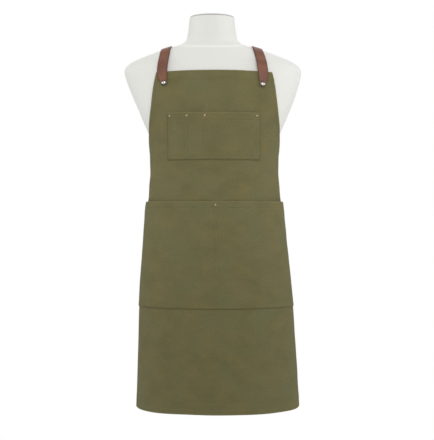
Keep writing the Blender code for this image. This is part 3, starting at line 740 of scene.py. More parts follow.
@dataclass(frozen=True)
class LevelShape:
    """A body given by level sections: height, half width, front reach, back reach.

    Its middle stands to the side by an even drift, from the first height to the second.
    """

    stations: tuple[tuple[float, float, float, float], ...]
    squareness: float = 2.2
    drift: float = 0.0
    drift_from: float = 0.0
    drift_to: float = 1.0

    def middle(self, height: np.ndarray) -> np.ndarray:
        """How far the section's middle stands to +X."""
        share = (height - self.drift_from) / (self.drift_to - self.drift_from)
        return self.drift * smooth_step(share)

    def column(self, height: np.ndarray, index: int) -> np.ndarray:
        """A station value at each height, on a smooth curve.

        Args:
            height: Heights in metres.
            index: Which station value, from 1 to 3.

        Returns:
            The value at each height.
        """
        table = np.array(self.stations)
        heights, values = table[:, 0], table[:, index]
        slopes = np.empty_like(values)
        slopes[1:-1] = (values[2:] - values[:-2]) / (heights[2:] - heights[:-2])
        slopes[0] = (values[1] - values[0]) / (heights[1] - heights[0])
        slopes[-1] = (values[-1] - values[-2]) / (heights[-1] - heights[-2])
        held = np.clip(height, heights[0], heights[-1])
        low = np.clip(np.searchsorted(heights, held, side="right") - 1, 0, len(heights) - 2)
        gap = heights[low + 1] - heights[low]
        t = (held - heights[low]) / gap
        return (
            (2 * t**3 - 3 * t**2 + 1) * values[low] + (t**3 - 2 * t**2 + t) * gap * slopes[low]
            + (3 * t**2 - 2 * t**3) * values[low + 1] + (t**3 - t**2) * gap * slopes[low + 1]
        )

    def points(self, height: np.ndarray, angle: np.ndarray) -> tuple[np.ndarray, np.ndarray]:
        """x and y at a height and an angle; angle 0 is the front middle, plus is to +X.

        Args:
            height: Heights in metres.
            angle: Angles in radians.

        Returns:
            The x and the y values.
        """
        half, front, back = (self.column(height, i) for i in (1, 2, 3))
        power = 2 / self.squareness
        sine, cosine = np.sin(angle), np.cos(angle)
        x = half * np.sign(sine) * np.abs(sine) ** power
        y = (front + back) / 2 - (back - front) / 2 * np.sign(cosine) * np.abs(cosine) ** power
        return x + self.middle(height), y


FORM_SHAPE = LevelShape((
    (0.0183, 0.172, -0.108, 0.106),
    (0.100, 0.175, -0.113, 0.108),
    (0.180, 0.167, -0.111, 0.101),
    (0.260, 0.157, -0.105, 0.084),
    (0.330, 0.153, -0.102, 0.075),
    (0.400, 0.158, -0.108, 0.084),
    (0.434, 0.166, -0.112, 0.095),
    (0.468, 0.181, -0.116, 0.106),
    (0.502, 0.195, -0.116, 0.112),
    (0.546, 0.213, -0.109, 0.114),
    (0.585, 0.226, -0.098, 0.110),
    (0.611, 0.229, -0.086, 0.102),
    (0.629, 0.212, -0.074, 0.093),
    (0.645, 0.177, -0.064, 0.085),
    (0.663, 0.128, -0.055, 0.078),
    (0.675, 0.086, -0.050, 0.073),
    (0.686, 0.0695, -0.047, 0.0715),
    (0.705, 0.0635, -0.046, 0.070),
    (0.746, 0.0585, -0.046, 0.070),
), drift=-0.006, drift_from=0.50, drift_to=0.67)

CLOTH_SHAPE = LevelShape((
    (-0.268, 0.2090, -0.138, 0.136),
    (-0.195, 0.2060, -0.136, 0.134),
    (-0.091, 0.2015, -0.134, 0.130),
    (0.013, 0.1970, -0.132, 0.126),
    (0.086, 0.1910, -0.130, 0.121),
    (0.169, 0.1830, -0.127, 0.112),
    (0.230, 0.1760, -0.124, 0.103),
    (0.283, 0.1695, -0.121, 0.091),
    (0.345, 0.1650, -0.119, 0.084),
    (0.400, 0.1670, -0.119, 0.092),
    (0.434, 0.1720, -0.120, 0.102),
    (0.468, 0.1870, -0.122, 0.112),
    (0.502, 0.2010, -0.121, 0.117),
    (0.546, 0.2190, -0.114, 0.119),
    (0.585, 0.2320, -0.103, 0.115),
    (0.625, 0.2380, -0.086, 0.105),
), drift=0.0085, drift_from=0.350, drift_to=-0.330)


@dataclass
class ClothSurface:
    """The surface that the cloth hangs on, by distance across it and height.

    The table of the bare surface is made once, and the cloth's own soft folds are
    added to it along the surface's outward direction.
    """

    shape: LevelShape = CLOTH_SHAPE
    reach: float = 0.46
    step: float = 0.002
    flute: float = 2.6 * MM
    flute_lengths: tuple[float, float] = (0.243, 0.127)
    hang_from: float = 0.20
    hang_over: float = 0.46
    drag: float = 0.5 * MM
    drag_at: tuple[float, float] = (0.268, 0.292)
    drag_size: tuple[float, float] = (0.11, 0.12)
    drag_pitch: float = 0.052
    ripple: float = 0.45 * MM
    ripple_count: int = 26
    ripple_lengths: tuple[float, float] = (0.035, 0.13)
    seed: int = 7
    heights: np.ndarray = field(init=False)
    distances: np.ndarray = field(init=False)
    table: np.ndarray = field(init=False)
    waves: np.ndarray = field(init=False)

    def __post_init__(self) -> None:
        """Measures every level ring of the surface and draws the ripples."""
        angles = np.linspace(-math.pi, math.pi, 721)
        self.heights = np.arange(self.shape.stations[0][0] - 0.01, self.shape.stations[-1][0], self.step)
        self.distances = np.arange(-self.reach, self.reach, self.step)
        rows = []
        for height in self.heights:
            ring = self.shape.points(np.full_like(angles, height), angles)
            along = np.concatenate([[0.0], np.cumsum(np.hypot(*np.diff(ring, axis=1)))])
            along -= along[len(angles) // 2]
            rows.append(np.stack([np.interp(self.distances, along, part) for part in ring], axis=1))
        self.table = np.array(rows)
        draw = np.random.default_rng(self.seed)
        turns = draw.uniform(0, math.tau, (self.ripple_count, 2))
        lengths = draw.uniform(*self.ripple_lengths, self.ripple_count)
        ways = np.cos(turns[:, 0]) / lengths, np.sin(turns[:, 0]) / lengths
        self.waves = np.stack([*ways, turns[:, 1]], axis=1)

    def bare(self, across: np.ndarray, height: np.ndarray) -> np.ndarray:
        """Points of the surface without its folds.

        Args:
            across: Distances along the cloth from the front middle.
            height: Heights in metres.

        Returns:
            The points, with x, y and z last.
        """
        across, height = np.broadcast_arrays(np.asarray(across, float), np.asarray(height, float))
        short = 1.001
        column = np.clip((across - self.distances[0]) / self.step, 0, len(self.distances) - short)
        row = np.clip((height - self.heights[0]) / self.step, 0, len(self.heights) - short)
        c, r = column.astype(int), row.astype(int)
        s, t = (column - c)[..., None], (row - r)[..., None]
        low = self.table[r, c] * (1 - s) + self.table[r, c + 1] * s
        high = self.table[r + 1, c] * (1 - s) + self.table[r + 1, c + 1] * s
        return np.concatenate([low * (1 - t) + high * t, height[..., None]], axis=-1)

    def outward(self, across: np.ndarray, height: np.ndarray, gap: float = 0.006) -> np.ndarray:
        """Unit outward directions of the surface without its folds."""
        sideways = self.bare(across + gap, height) - self.bare(across - gap, height)
        upwards = self.bare(across, height + gap) - self.bare(across, height - gap)
        out = np.cross(sideways, upwards)
        return out / np.linalg.norm(out, axis=-1, keepdims=True)

    def folds(self, across: np.ndarray, height: np.ndarray) -> np.ndarray:
        """How far the hanging cloth stands off the surface: flutes, drag and ripples.

        Args:
            across: Distances along the cloth.
            height: Heights in metres.

        Returns:
            The stand-off at each point.
        """
        hang = smooth_step((self.hang_from - height) / self.hang_over)
        wide, narrow = (math.tau * across / length for length in self.flute_lengths)
        flutes = np.sin(wide + 0.5) + 0.55 * np.sin(narrow + 2.3)
        beside = (np.abs(across) - self.drag_at[0]) / self.drag_size[0]
        drag_to = np.hypot(beside, (height - self.drag_at[1]) / self.drag_size[1])
        slant = (np.abs(across) * 0.8 + height) * math.tau / self.drag_pitch
        drag = np.exp(-(drag_to**2)) * np.sin(slant)
        place = across[..., None] * self.waves[:, 0] + height[..., None] * self.waves[:, 1]
        ripples = np.sin(math.tau * place + self.waves[:, 2]).mean(axis=-1) * 2.2
        return self.flute * hang * flutes + self.drag * drag + self.ripple * ripples

    def point(self, across: np.ndarray, height: np.ndarray, lift: object = 0.0) -> np.ndarray:
        """Points of the folded cloth's surface, lifted outwards."""
        across, height = np.broadcast_arrays(np.asarray(across, float), np.asarray(height, float))
        rise = (self.folds(across, height) + lift)[..., None]
        return self.bare(across, height) + self.outward(across, height) * rise

    def seat(self, across: float, height: float, lift: float) -> tuple[Vector, Vector]:
        """One lifted point of the folded cloth, and its outward direction."""
        here = self.point(np.array([across]), np.array([height]), lift)[0]
        return Vector(here), Vector(self.outward(np.array([across]), np.array([height]))[0])


# ---------------------------------------------------------------- repeated small pieces


class NodeTree:
    """Short calls for building a geometry node tree."""

    def __init__(self, name: str, kinds: dict[str, str]) -> None:
        """Starts a tree with a Geometry input and output, and the named inputs.

        Args:
            name: The tree's name.
            kinds: Each further input's name and kind of socket.
        """
        self.tree = bpy.data.node_groups.new(name, "GeometryNodeTree")
        self.sockets: dict[str, str] = {}
        face = self.tree.interface
        face.new_socket("Geometry", in_out="INPUT", socket_type="NodeSocketGeometry")
        for label, kind in kinds.items():
            made = face.new_socket(label, in_out="INPUT", socket_type="NodeSocket" + kind)
            self.sockets[label] = made.identifier
        face.new_socket("Geometry", in_out="OUTPUT", socket_type="NodeSocketGeometry")
        self.entry = self.tree.nodes.new("NodeGroupInput")
        self.leave = self.tree.nodes.new("NodeGroupOutput")

    def add(self, kind: str, inputs: dict | None = None, **settings: object) -> bpy.types.Node:
        """Adds a node, sets it and joins its inputs to values or sockets.

        Args:
            kind: The node's Blender type.
            inputs: Socket name or number to a value or socket.
            settings: Attributes of the node itself.

        Returns:
            The new node.
        """
        node = self.tree.nodes.new(kind)
        for name, value in settings.items():
            setattr(node, name, value)
        for name, value in (inputs or {}).items():
            if isinstance(value, bpy.types.NodeSocket):
                self.tree.links.new(value, node.inputs[name])
            else:
                node.inputs[name].default_value = value
        return node

    def end(self, geometry: bpy.types.NodeSocket) -> None:
        """Realizes the copies, gives them the Finish input's material and ends the tree."""
        real = self.add("GeometryNodeRealizeInstances", {"Geometry": geometry})
        smooth = self.add("GeometryNodeSetShadeSmooth", {"Geometry": real.outputs[0]})
        inputs = {"Geometry": smooth.outputs[0], "Material": self.entry.outputs["Finish"]}
        done = self.add("GeometryNodeSetMaterial", inputs)
        self.tree.links.new(done.outputs[0], self.leave.inputs[0])

    def run(self, name: str, guide: bpy.types.Mesh, values: dict[str, object]) -> bpy.types.Mesh:
        """Runs the tree on a guide mesh.

        Args:
            name: Name of the resulting mesh.
            guide: The mesh whose points or edges the tree works on.
            values: The tree's named inputs.

        Returns:
            The result as a plain mesh.
        """
        holder = bpy.data.objects.new(name + "_guide", guide)
        bpy.context.scene.collection.objects.link(holder)
        modifier = holder.modifiers.new("make", "NODES")
        modifier.node_group = self.tree
        for label, value in values.items():
            modifier[self.sockets[label]] = value
        graph = bpy.context.evaluated_depsgraph_get()
        mesh = bpy.data.meshes.new_from_object(holder.evaluated_get(graph))
        mesh.name = name
        bpy.data.objects.remove(holder)
        return mesh


def guide_mesh(name: str, lines: Sequence[Line]) -> bpy.types.Mesh:
    """A mesh of separate point lines that stores each point's outward direction.

    Args:
        name: The mesh's name.
        lines: Each line's points and outward directions.

    Returns:
        The mesh, with its attribute "out".
    """
    points, edges, outs = [], [], []
    for line in lines:
        edges += [(len(points) + i, len(points) + i + 1) for i in range(len(line) - 1)]
        points += [tuple(point) for point, _ in line]
        outs += [tuple(out) for _, out in line]
    mesh = bpy.data.meshes.new(name)
    mesh.from_pydata(points, edges, [])
    stored = mesh.attributes.new("out", "FLOAT_VECTOR", "POINT")
    stored.data.foreach_set("vector", np.array(outs, np.float32).ravel())
    return mesh


class SewingMachine:
    """Lays thread stitches end to end along lines on the cloth."""

    ball_points: int = 20

    def __init__(self) -> None:
        """Builds the stitch tree."""
        kinds = {"Pitch": "Float", "Stitch": "Vector", "Finish": "Material"}
        self.nodes = NodeTree("stitches", kinds)
        entry = self.nodes.entry.outputs
        curve = self.nodes.add("GeometryNodeMeshToCurve", {"Mesh": entry["Geometry"]})
        even = self.nodes.add("GeometryNodeResampleCurve", {"Curve": curve.outputs[0]}, mode="LENGTH")
        self.nodes.tree.links.new(entry["Pitch"], even.inputs["Length"])
        ball = self.nodes.add("GeometryNodeMeshUVSphere", {"Segments": 6, "Rings": 4, "Radius": 0.5})
        out = self.nodes.add("GeometryNodeInputNamedAttribute", {"Name": "out"}, data_type="FLOAT_VECTOR")
        along = self.nodes.add("GeometryNodeInputTangent")
        turn = self.nodes.add("FunctionNodeAxesToRotation", {0: along.outputs[0], 1: out.outputs[0]},
                              primary_axis="X", secondary_axis="Z")
        put = self.nodes.add("GeometryNodeInstanceOnPoints", {
            "Points": even.outputs[0], "Instance": ball.outputs[0],
            "Rotation": turn.outputs[0], "Scale": entry["Stitch"],
        })
        self.nodes.end(put.outputs[0])

    def sew(self, name: str, lines: Sequence[Line], thread: Thread) -> bpy.types.Object:
        """Makes one piece of all the stitches along the lines.

        Args:
            name: The piece's name.
            lines: Where the thread runs.
            thread: The kind of thread.

        Returns:
            The piece.
        """
        pitch, length, thick = thread.value
        values = {"Pitch": pitch, "Stitch": (length, thick, thick * 0.8), "Finish": THREAD.material}
        mesh = self.nodes.run(name, guide_mesh(name, lines), values)
        LOG.info("%s: %d stitches in %d lines", name, len(mesh.vertices) // self.ball_points, len(lines))
        return add_piece(name, mesh, THREAD.material)


class RivetPress:
    """Sets copies of a turned head at points, each turned to face outwards."""

    def __init__(self) -> None:
        """Builds the setting tree."""
        kinds = {"Head": "Object", "Seed": "Int", "Finish": "Material"}
        self.nodes = NodeTree("rivet_heads", kinds)
        entry = self.nodes.entry.outputs
        head = self.nodes.add("GeometryNodeObjectInfo", {"Object": entry["Head"]})
        out = self.nodes.add("GeometryNodeInputNamedAttribute", {"Name": "out"}, data_type="FLOAT_VECTOR")
        spin = self.nodes.add("FunctionNodeRandomValue", {"Seed": entry["Seed"]}, data_type="FLOAT_VECTOR")
        turn = self.nodes.add("FunctionNodeAxesToRotation", {0: out.outputs[0], 1: spin.outputs[0]},
                              primary_axis="Z", secondary_axis="X")
        put = self.nodes.add("GeometryNodeInstanceOnPoints", {
            "Points": entry["Geometry"], "Instance": head.outputs["Geometry"], "Rotation": turn.outputs[0],
        })
        self.nodes.end(put.outputs[0])

    def press(self, name: str, head: bpy.types.Mesh, seats: Line, finish: MetalFinish) -> bpy.types.Object:
        """Makes one piece of all the heads on their seats.

        Args:
            name: The piece's name.
            head: One head's mesh, standing on +Z.
            seats: Each head's place and outward direction.
            finish: The metal.

        Returns:
            The piece.
        """
        template = bpy.data.objects.new(name + "_head", head)
        bpy.context.scene.collection.objects.link(template)
        values = {"Head": template, "Seed": 3, "Finish": finish.material}
        mesh = self.nodes.run(name, guide_mesh(name, [[seat] for seat in seats]), values)
        bpy.data.objects.remove(template)
        LOG.info("%s: %d heads", name, len(seats))
        return add_piece(name, mesh, finish.material)


# ---------------------------------------------------------------- apron cloth


@dataclass
class BibPanel:
    """The canvas panel: straight below the waist, cut in to the bib above it."""

    cloth: ClothSurface
    hem: float = -0.262
    top: float = 0.598
    corner_drop: float = 0.004
    corner_lift: tuple[float, float] = (0.006, 0.015)
    thick: float = 1.1 * MM
    side_hem: float = 0.011
    low_hem: float = 0.035
    top_hem: float = 0.024
    side_margin: float = 0.016
    low_margin: float = 0.040
    top_margin: float = 0.030
    seam_end: float = 0.004
    waist: float = 0.292
    creep: float = 0.014
    edge: LevelShape = LevelShape((
        (-0.262, 0.292, 0, 0),
        (0.290, 0.292, 0, 0),
        (0.325, 0.284, 0, 0),
        (0.360, 0.262, 0, 0),
        (0.400, 0.226, 0, 0),
        (0.440, 0.194, 0, 0),
        (0.480, 0.176, 0, 0),
        (0.530, 0.163, 0, 0),
        (0.570, 0.155, 0, 0),
        (0.598, 0.148, 0, 0),
    ))

    def half(self, height: np.ndarray) -> np.ndarray:
        """Half the panel's width along the cloth."""
        return self.edge.column(np.asarray(height, float), 1)

    def shift(self, height: np.ndarray) -> np.ndarray:
        """How far the hanging cloth has crept round to the right below the waist."""
        return self.creep * np.maximum(0.0, (self.waist - height) / (self.waist - self.hem))

    def place(self, side: np.ndarray, up: np.ndarray) -> tuple[np.ndarray, np.ndarray]:
        """Distance across and height of a point -1 to 1 across and 0 to 1 up the pattern.

        Args:
            side: Share across, from -1 to 1.
            up: Share up, from 0 to 1.

        Returns:
            Distances across the cloth, and heights.
        """
        height = self.hem + (self.top - self.hem) * up
        across = side * self.half(height) + self.shift(height)
        lift = np.where(side < 0, *self.corner_lift) * np.abs(side) ** 7 * smooth_step(1 - up / 0.16)
        return across, height - self.corner_drop * side**2 * up**4 + lift

    def grid(self) -> tuple[np.ndarray, np.ndarray]:
        """Sides and ups of the mesh's points, close together where the hems are sewn."""
        margin = np.linspace(0, self.side_margin, 12, endpoint=False) / self.waist
        reach = 1 - self.side_margin / self.waist
        sides = np.concatenate([-1 + margin, np.linspace(-reach, reach, 118), (1 - margin)[::-1]])
        length = self.top - self.hem
        low = np.linspace(0, self.low_margin, 26, endpoint=False) / length
        middle = np.linspace(self.low_margin / length, 1 - self.top_margin / length, 170, endpoint=False)
        high = 1 - np.linspace(self.top_margin, 0, 21) / length
        return np.meshgrid(sides, np.concatenate([low, middle, high]))

    def build(self) -> bpy.types.Object:
        """Makes the panel's cloth with its turned hems."""
        side, up = self.grid()
        across, height = self.place(side, up)
        from_side = (1 - np.abs(side)) * self.half(height)
        from_low, from_top = up * (self.top - self.hem), (1 - up) * (self.top - self.hem)
        hems = ((from_side, self.side_hem), (from_low, self.low_hem), (from_top, self.top_hem))
        turned = np.maximum.reduce([smooth_step((hem + 1 * MM - away) / (2 * MM)) for away, hem in hems])
        sunk = sum(ridge(away - hem + SEAM_IN, 1.1 * MM) for away, hem in hems)
        edge = np.minimum.reduce([away for away, _ in hems])
        outer = self.thick / 2 + 0.28 * MM * turned - 0.30 * MM * sunk
        inner = -self.thick / 2 - 1.1 * MM * turned + 0.25 * MM * sunk
        wear = np.clip(0.85 * ridge(edge, 1.6 * MM) + 0.25 * ridge(edge - self.side_hem, 1.2 * MM), 0, 1)
        shell = [self.cloth.point(across, height, lift) for lift in (outer, inner)]
        mesh = cloth_shell("apron_panel", *shell, np.stack([across, height], axis=-1), wear)
        panel = add_piece("apron_panel", mesh, CANVAS.material)
        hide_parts("canvas_panel")
        LOG.info("apron_panel: %d faces", len(mesh.polygons))
        return panel

    def area(self) -> float:
        """Flat area of the cut panel."""
        heights = np.linspace(self.hem, self.top, 400)
        return float(np.trapz(2 * self.half(heights), heights))

    def stitch_lines(self) -> list[Line]:
        """Lines of the hem stitching."""
        lift = self.thick / 2 + 0.18 * MM
        ups = np.linspace(0.004, 0.996, 260)
        lines = []
        for sign in (-1, 1):
            across, height = self.place(sign * np.ones_like(ups), ups)
            lines.append(self.line(across - sign * (self.side_hem - SEAM_IN), height, lift))
        for height in (self.hem + self.low_hem - SEAM_IN, self.top - self.top_hem + SEAM_IN):
            reach = float(self.half(np.array(height))) - self.seam_end
            across = np.linspace(-reach, reach, 150)
            up = (height - self.hem) / (self.top - self.hem)
            drop = self.corner_drop * (across / reach) ** 2 * up**4
            lines.append(self.line(across + self.shift(height), height - drop, lift))
        return lines

    def line(self, across: np.ndarray, height: np.ndarray, lift: object) -> Line:
        """A line on the panel's cloth, as points and outward directions.

        Args:
            across: Distances across the cloth.
            height: Heights in metres.
            lift: How far the line stands off the cloth's middle.

        Returns:
            The line.
        """
        across, height = np.broadcast_arrays(across, height)
        points = self.cloth.point(across, height, lift)
        return [(Vector(p), Vector(n)) for p, n in zip(points, self.cloth.outward(across, height))]


@dataclass
class PatchPocket:
    """A patch pocket, sewn at its sides and foot and held at its mouth by rivets."""

    name: str
    node: str
    panel: BibPanel
    low: float
    high: float
    left: Callable[[np.ndarray], np.ndarray]
    right: Callable[[np.ndarray], np.ndarray]
    rivets: tuple[tuple[float, float], ...]
    dividers: tuple[float, ...]
    mouth_hem: float
    gape: float
    columns: int
    rows: int
    thick: float = 1.1 * MM
    rest: float = 1.55 * MM
    row_gap: float = 0.009
    second_row: float = 0.0105
    side_gape: float = 0.0
    crowding: float = 0.48
    patch_of_cloth: tuple[float, float] = (0.37, 0.21)

    def lift(self, across: np.ndarray, height: np.ndarray) -> np.ndarray:
        """Height of the pocket's middle layer above the panel's.

        Args:
            across: Distances across the cloth.
            height: Heights in metres.

        Returns:
            The height at each point.
        """
        left, right = self.left(height), self.right(height)
        share = (across - left) / (right - left)
        up = (height - self.low) / (self.high - self.low)
        held = np.zeros_like(across)
        for place in self.dividers:
            held = np.maximum(held, ridge(across - place - self.row_gap / 2, 0.012))
        for place, _ in self.rivets:
            held = np.maximum(held, ridge(across - place, 0.016) * smooth_step(up * 3 - 2))
        ends = smooth_step(np.minimum(share, 1 - share) * (right - left) / 0.03)
        belly = np.sin(math.pi * np.clip(up, 0, 1) * 0.5) * ends
        swell = 1.1 * MM * belly * (1 - held) + self.gape * smooth_step(up * 4 - 3) * (1 - held) * ends
        out = np.abs(across)
        flare = self.side_gape * smooth_step(up * 2.2 - 1.2) * smooth_step((out - 0.10) / 0.09)
        return self.rest + swell + flare * (1 - 0.5 * smooth_step((out - 0.24) / 0.04))

    def build(self) -> bpy.types.Object:
        """Makes the pocket's cloth with its turned edges and sewn channels."""
        share, up = np.meshgrid(self.spaced(self.columns), self.spaced(self.rows))
        height = self.low + (self.high - self.low) * up
        left, right = self.left(height), self.right(height)
        across = left + (right - left) * share
        from_side = np.minimum(share, 1 - share) * (right - left)
        from_low, from_top = height - self.low, self.high - height
        sunk = ridge(from_side - SEAM_IN, 0.9 * MM) + ridge(from_low - SEAM_IN, 0.9 * MM)
        sunk = np.maximum(sunk, ridge(from_top - self.mouth_hem, 1.1 * MM))
        for place in self.dividers:
            pair = (across - place, across - place - self.row_gap)
            sunk = np.maximum(sunk, 0.5 * ridge(pair[0], 1.3 * MM) + 0.5 * ridge(pair[1], 1.3 * MM))
        turned = smooth_step((0.010 - np.minimum(from_side, from_low)) / 0.003)
        turned = np.maximum(turned, smooth_step((self.mouth_hem + SEAM_IN - from_top) / 0.003))
        middle = self.lift(across, height)
        outer = middle + self.thick / 2 + 0.35 * MM * turned - 0.38 * MM * sunk
        inner = middle - self.thick / 2 - 0.15 * MM * turned
        wear = 0.9 * ridge(from_top, 1.4 * MM) + 0.2 * ridge(from_top - self.mouth_hem - SEAM_IN, 1.5 * MM)
        # Painted shadow along the sides and foot, where the pocket's edge stands off the panel.
        wear = np.clip(wear, 0, 1) - 0.5 * ridge(np.minimum(from_side, from_low), 1.3 * MM)
        shell = [self.panel.cloth.point(across, height, lift) for lift in (outer, inner)]
        flat = np.stack([across, height], axis=-1) + self.patch_of_cloth
        mesh = cloth_shell(self.name, *shell, flat, wear)
        pocket = add_piece(self.name, mesh, CANVAS.material)
        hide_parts(self.node)
        LOG.info("%s: %d faces", self.name, len(mesh.polygons))
        return pocket

    def spaced(self, count: int) -> np.ndarray:
        """Shares from 0 to 1, closer together towards both ends."""
        even = np.linspace(0, 1, count)
        return even - self.crowding * np.sin(math.tau * even) / math.tau

    def flat(self) -> tuple[float, float]:
        """Width and height of the cut cloth."""
        middle = np.array((self.low + self.high) / 2)
        return float(self.right(middle) - self.left(middle)), self.high - self.low

    def stitch_lines(self) -> list[Line]:
        """Lines of the sides, foot, mouth hem and dividers."""
        heights = np.linspace(self.low + 0.003, self.high - 0.002, 90)
        lines = []
        for inset in (SEAM_IN, self.second_row):
            lines.append(self.line(self.left(heights) + inset, heights))
            lines.append(self.line(self.right(heights) - inset, heights))
            lines.append(self.level_line(self.low + inset, SEAM_IN))
        lines.append(self.level_line(self.high - self.mouth_hem, 0.0))
        for place in self.dividers:
            for offset in (0.0, self.row_gap):
                lines.append(self.line(np.full(90, place + offset), heights))
        return lines

    def level_line(self, height: float, inset: float) -> Line:
        """A level line from side to side, short of each side by the inset.

        Args:
            height: The line's height in metres.
            inset: How far each end stops short of its side.

        Returns:
            The line, on the pocket's outer face.
        """
        heights = np.full(120, height)
        ends = self.left(heights)[0] + inset, self.right(heights)[0] - inset
        return self.line(np.linspace(*ends, 120), heights)

    def line(self, across: np.ndarray, height: np.ndarray) -> Line:
        """A line on the pocket's outer face."""
        lift = self.lift(across, height) + self.thick / 2 + 0.12 * MM
        return self.panel.line(across, height, lift)

    def seats(self) -> Line:
        """Where the rivet heads stand, and which way they face."""
        seats = []
        for across, height in self.rivets:
            middle = float(self.lift(np.array([across]), np.array([height]))[0])
            seats.append(self.panel.cloth.seat(across, height, middle + self.thick / 2 + 0.2 * MM))
        return seats


# ---------------------------------------------------------------- leather and buckles


@dataclass(frozen=True)
class StrapRoute:
    """A strap's way: up the front as distance across the cloth and height, then in space.

    The stud is the first front place, and X is outwards from the middle.
    """

    front: tuple[tuple[float, float], ...]
    shoulder: tuple[tuple[float, float, float], ...]
    back: tuple[tuple[float, float, float], ...] = (
        (0.1090, 0.080, 0.640),
        (0.0950, 0.100, 0.610),
        (0.0500, 0.125, 0.535),
        (0.0000, 0.120, 0.462),
        (-0.0300, 0.110, 0.430),
    )


ROUTES = {
    Side.LEFT: StrapRoute(
        front=((0.1268, 0.5655), (0.1290, 0.574), (0.1318, 0.586), (0.1320, 0.600), (0.1306, 0.614)),
        shoulder=(
            (0.1262, -0.050, 0.641),
            (0.1243, -0.034, 0.656),
            (0.1232, -0.020, 0.664),
            (0.1222, 0.008, 0.667),
            (0.1190, 0.045, 0.662),
        ),
    ),
    Side.RIGHT: StrapRoute(
        front=((0.1222, 0.5620), (0.1236, 0.572), (0.1243, 0.585), (0.1228, 0.600), (0.1208, 0.614)),
        shoulder=(
            (0.1162, -0.053, 0.641),
            (0.1122, -0.037, 0.656),
            (0.1105, -0.020, 0.665),
            (0.1095, 0.008, 0.668),
            (0.1110, 0.045, 0.664),
        ),
    ),
}


@dataclass
class StrapRun:
    """Places along a strap's last run, from the buckle's bar to the side tab's rivet."""

    side: Side
    cloth: ClothSurface
    rivet: tuple[float, float] = (0.268, 0.292)
    angle: float = math.radians(42.5)
    length: float = 0.070
    bar_height: float = 4.1 * MM

    def spot(self, distance: float, lift: float) -> Vector:
        """A point over the bare cloth surface, at a distance past the buckle's bar.

        Args:
            distance: Distance past the bar, towards the tab's rivet.
            lift: Height over the surface.

        Returns:
            The point.
        """
        back = self.length - distance
        across = np.array([-self.side.value * (self.rivet[0] + back * math.cos(self.angle))])
        height = np.array([self.rivet[1] + back * math.sin(self.angle)])
        return Vector((self.cloth.bare(across, height) + self.cloth.outward(across, height) * lift)[0])

    def frame(self, distance: float, height: float = 0.0) -> Matrix:
        """Matrix at a distance: +X towards the tab's rivet, +Z outwards.

        Args:
            distance: Distance past the buckle's bar.
            height: Height over the surface.

        Returns:
            The matrix.
        """
        along = (self.spot(distance + 0.004, 0) - self.spot(distance - 0.004, 0)).normalized()
        out = self.spot(distance, 1.0) - self.spot(distance, 0.0)
        out = (out - along * out.dot(along)).normalized()
        turn = Matrix((along, out.cross(along), out)).transposed().to_4x4()
        return Matrix.Translation(self.spot(distance, height)) @ turn

    def station(self, distance: float, height: float) -> tuple[Vector, Vector]:
        """Centre point and outward direction of leather lying on the run."""
        place = self.frame(distance, height)
        return place.translation, place.to_3x3().col[2]

    @property
    def bar(self) -> Matrix:
        """Matrix of the buckle's bar."""
        return self.frame(0.0, self.bar_height)


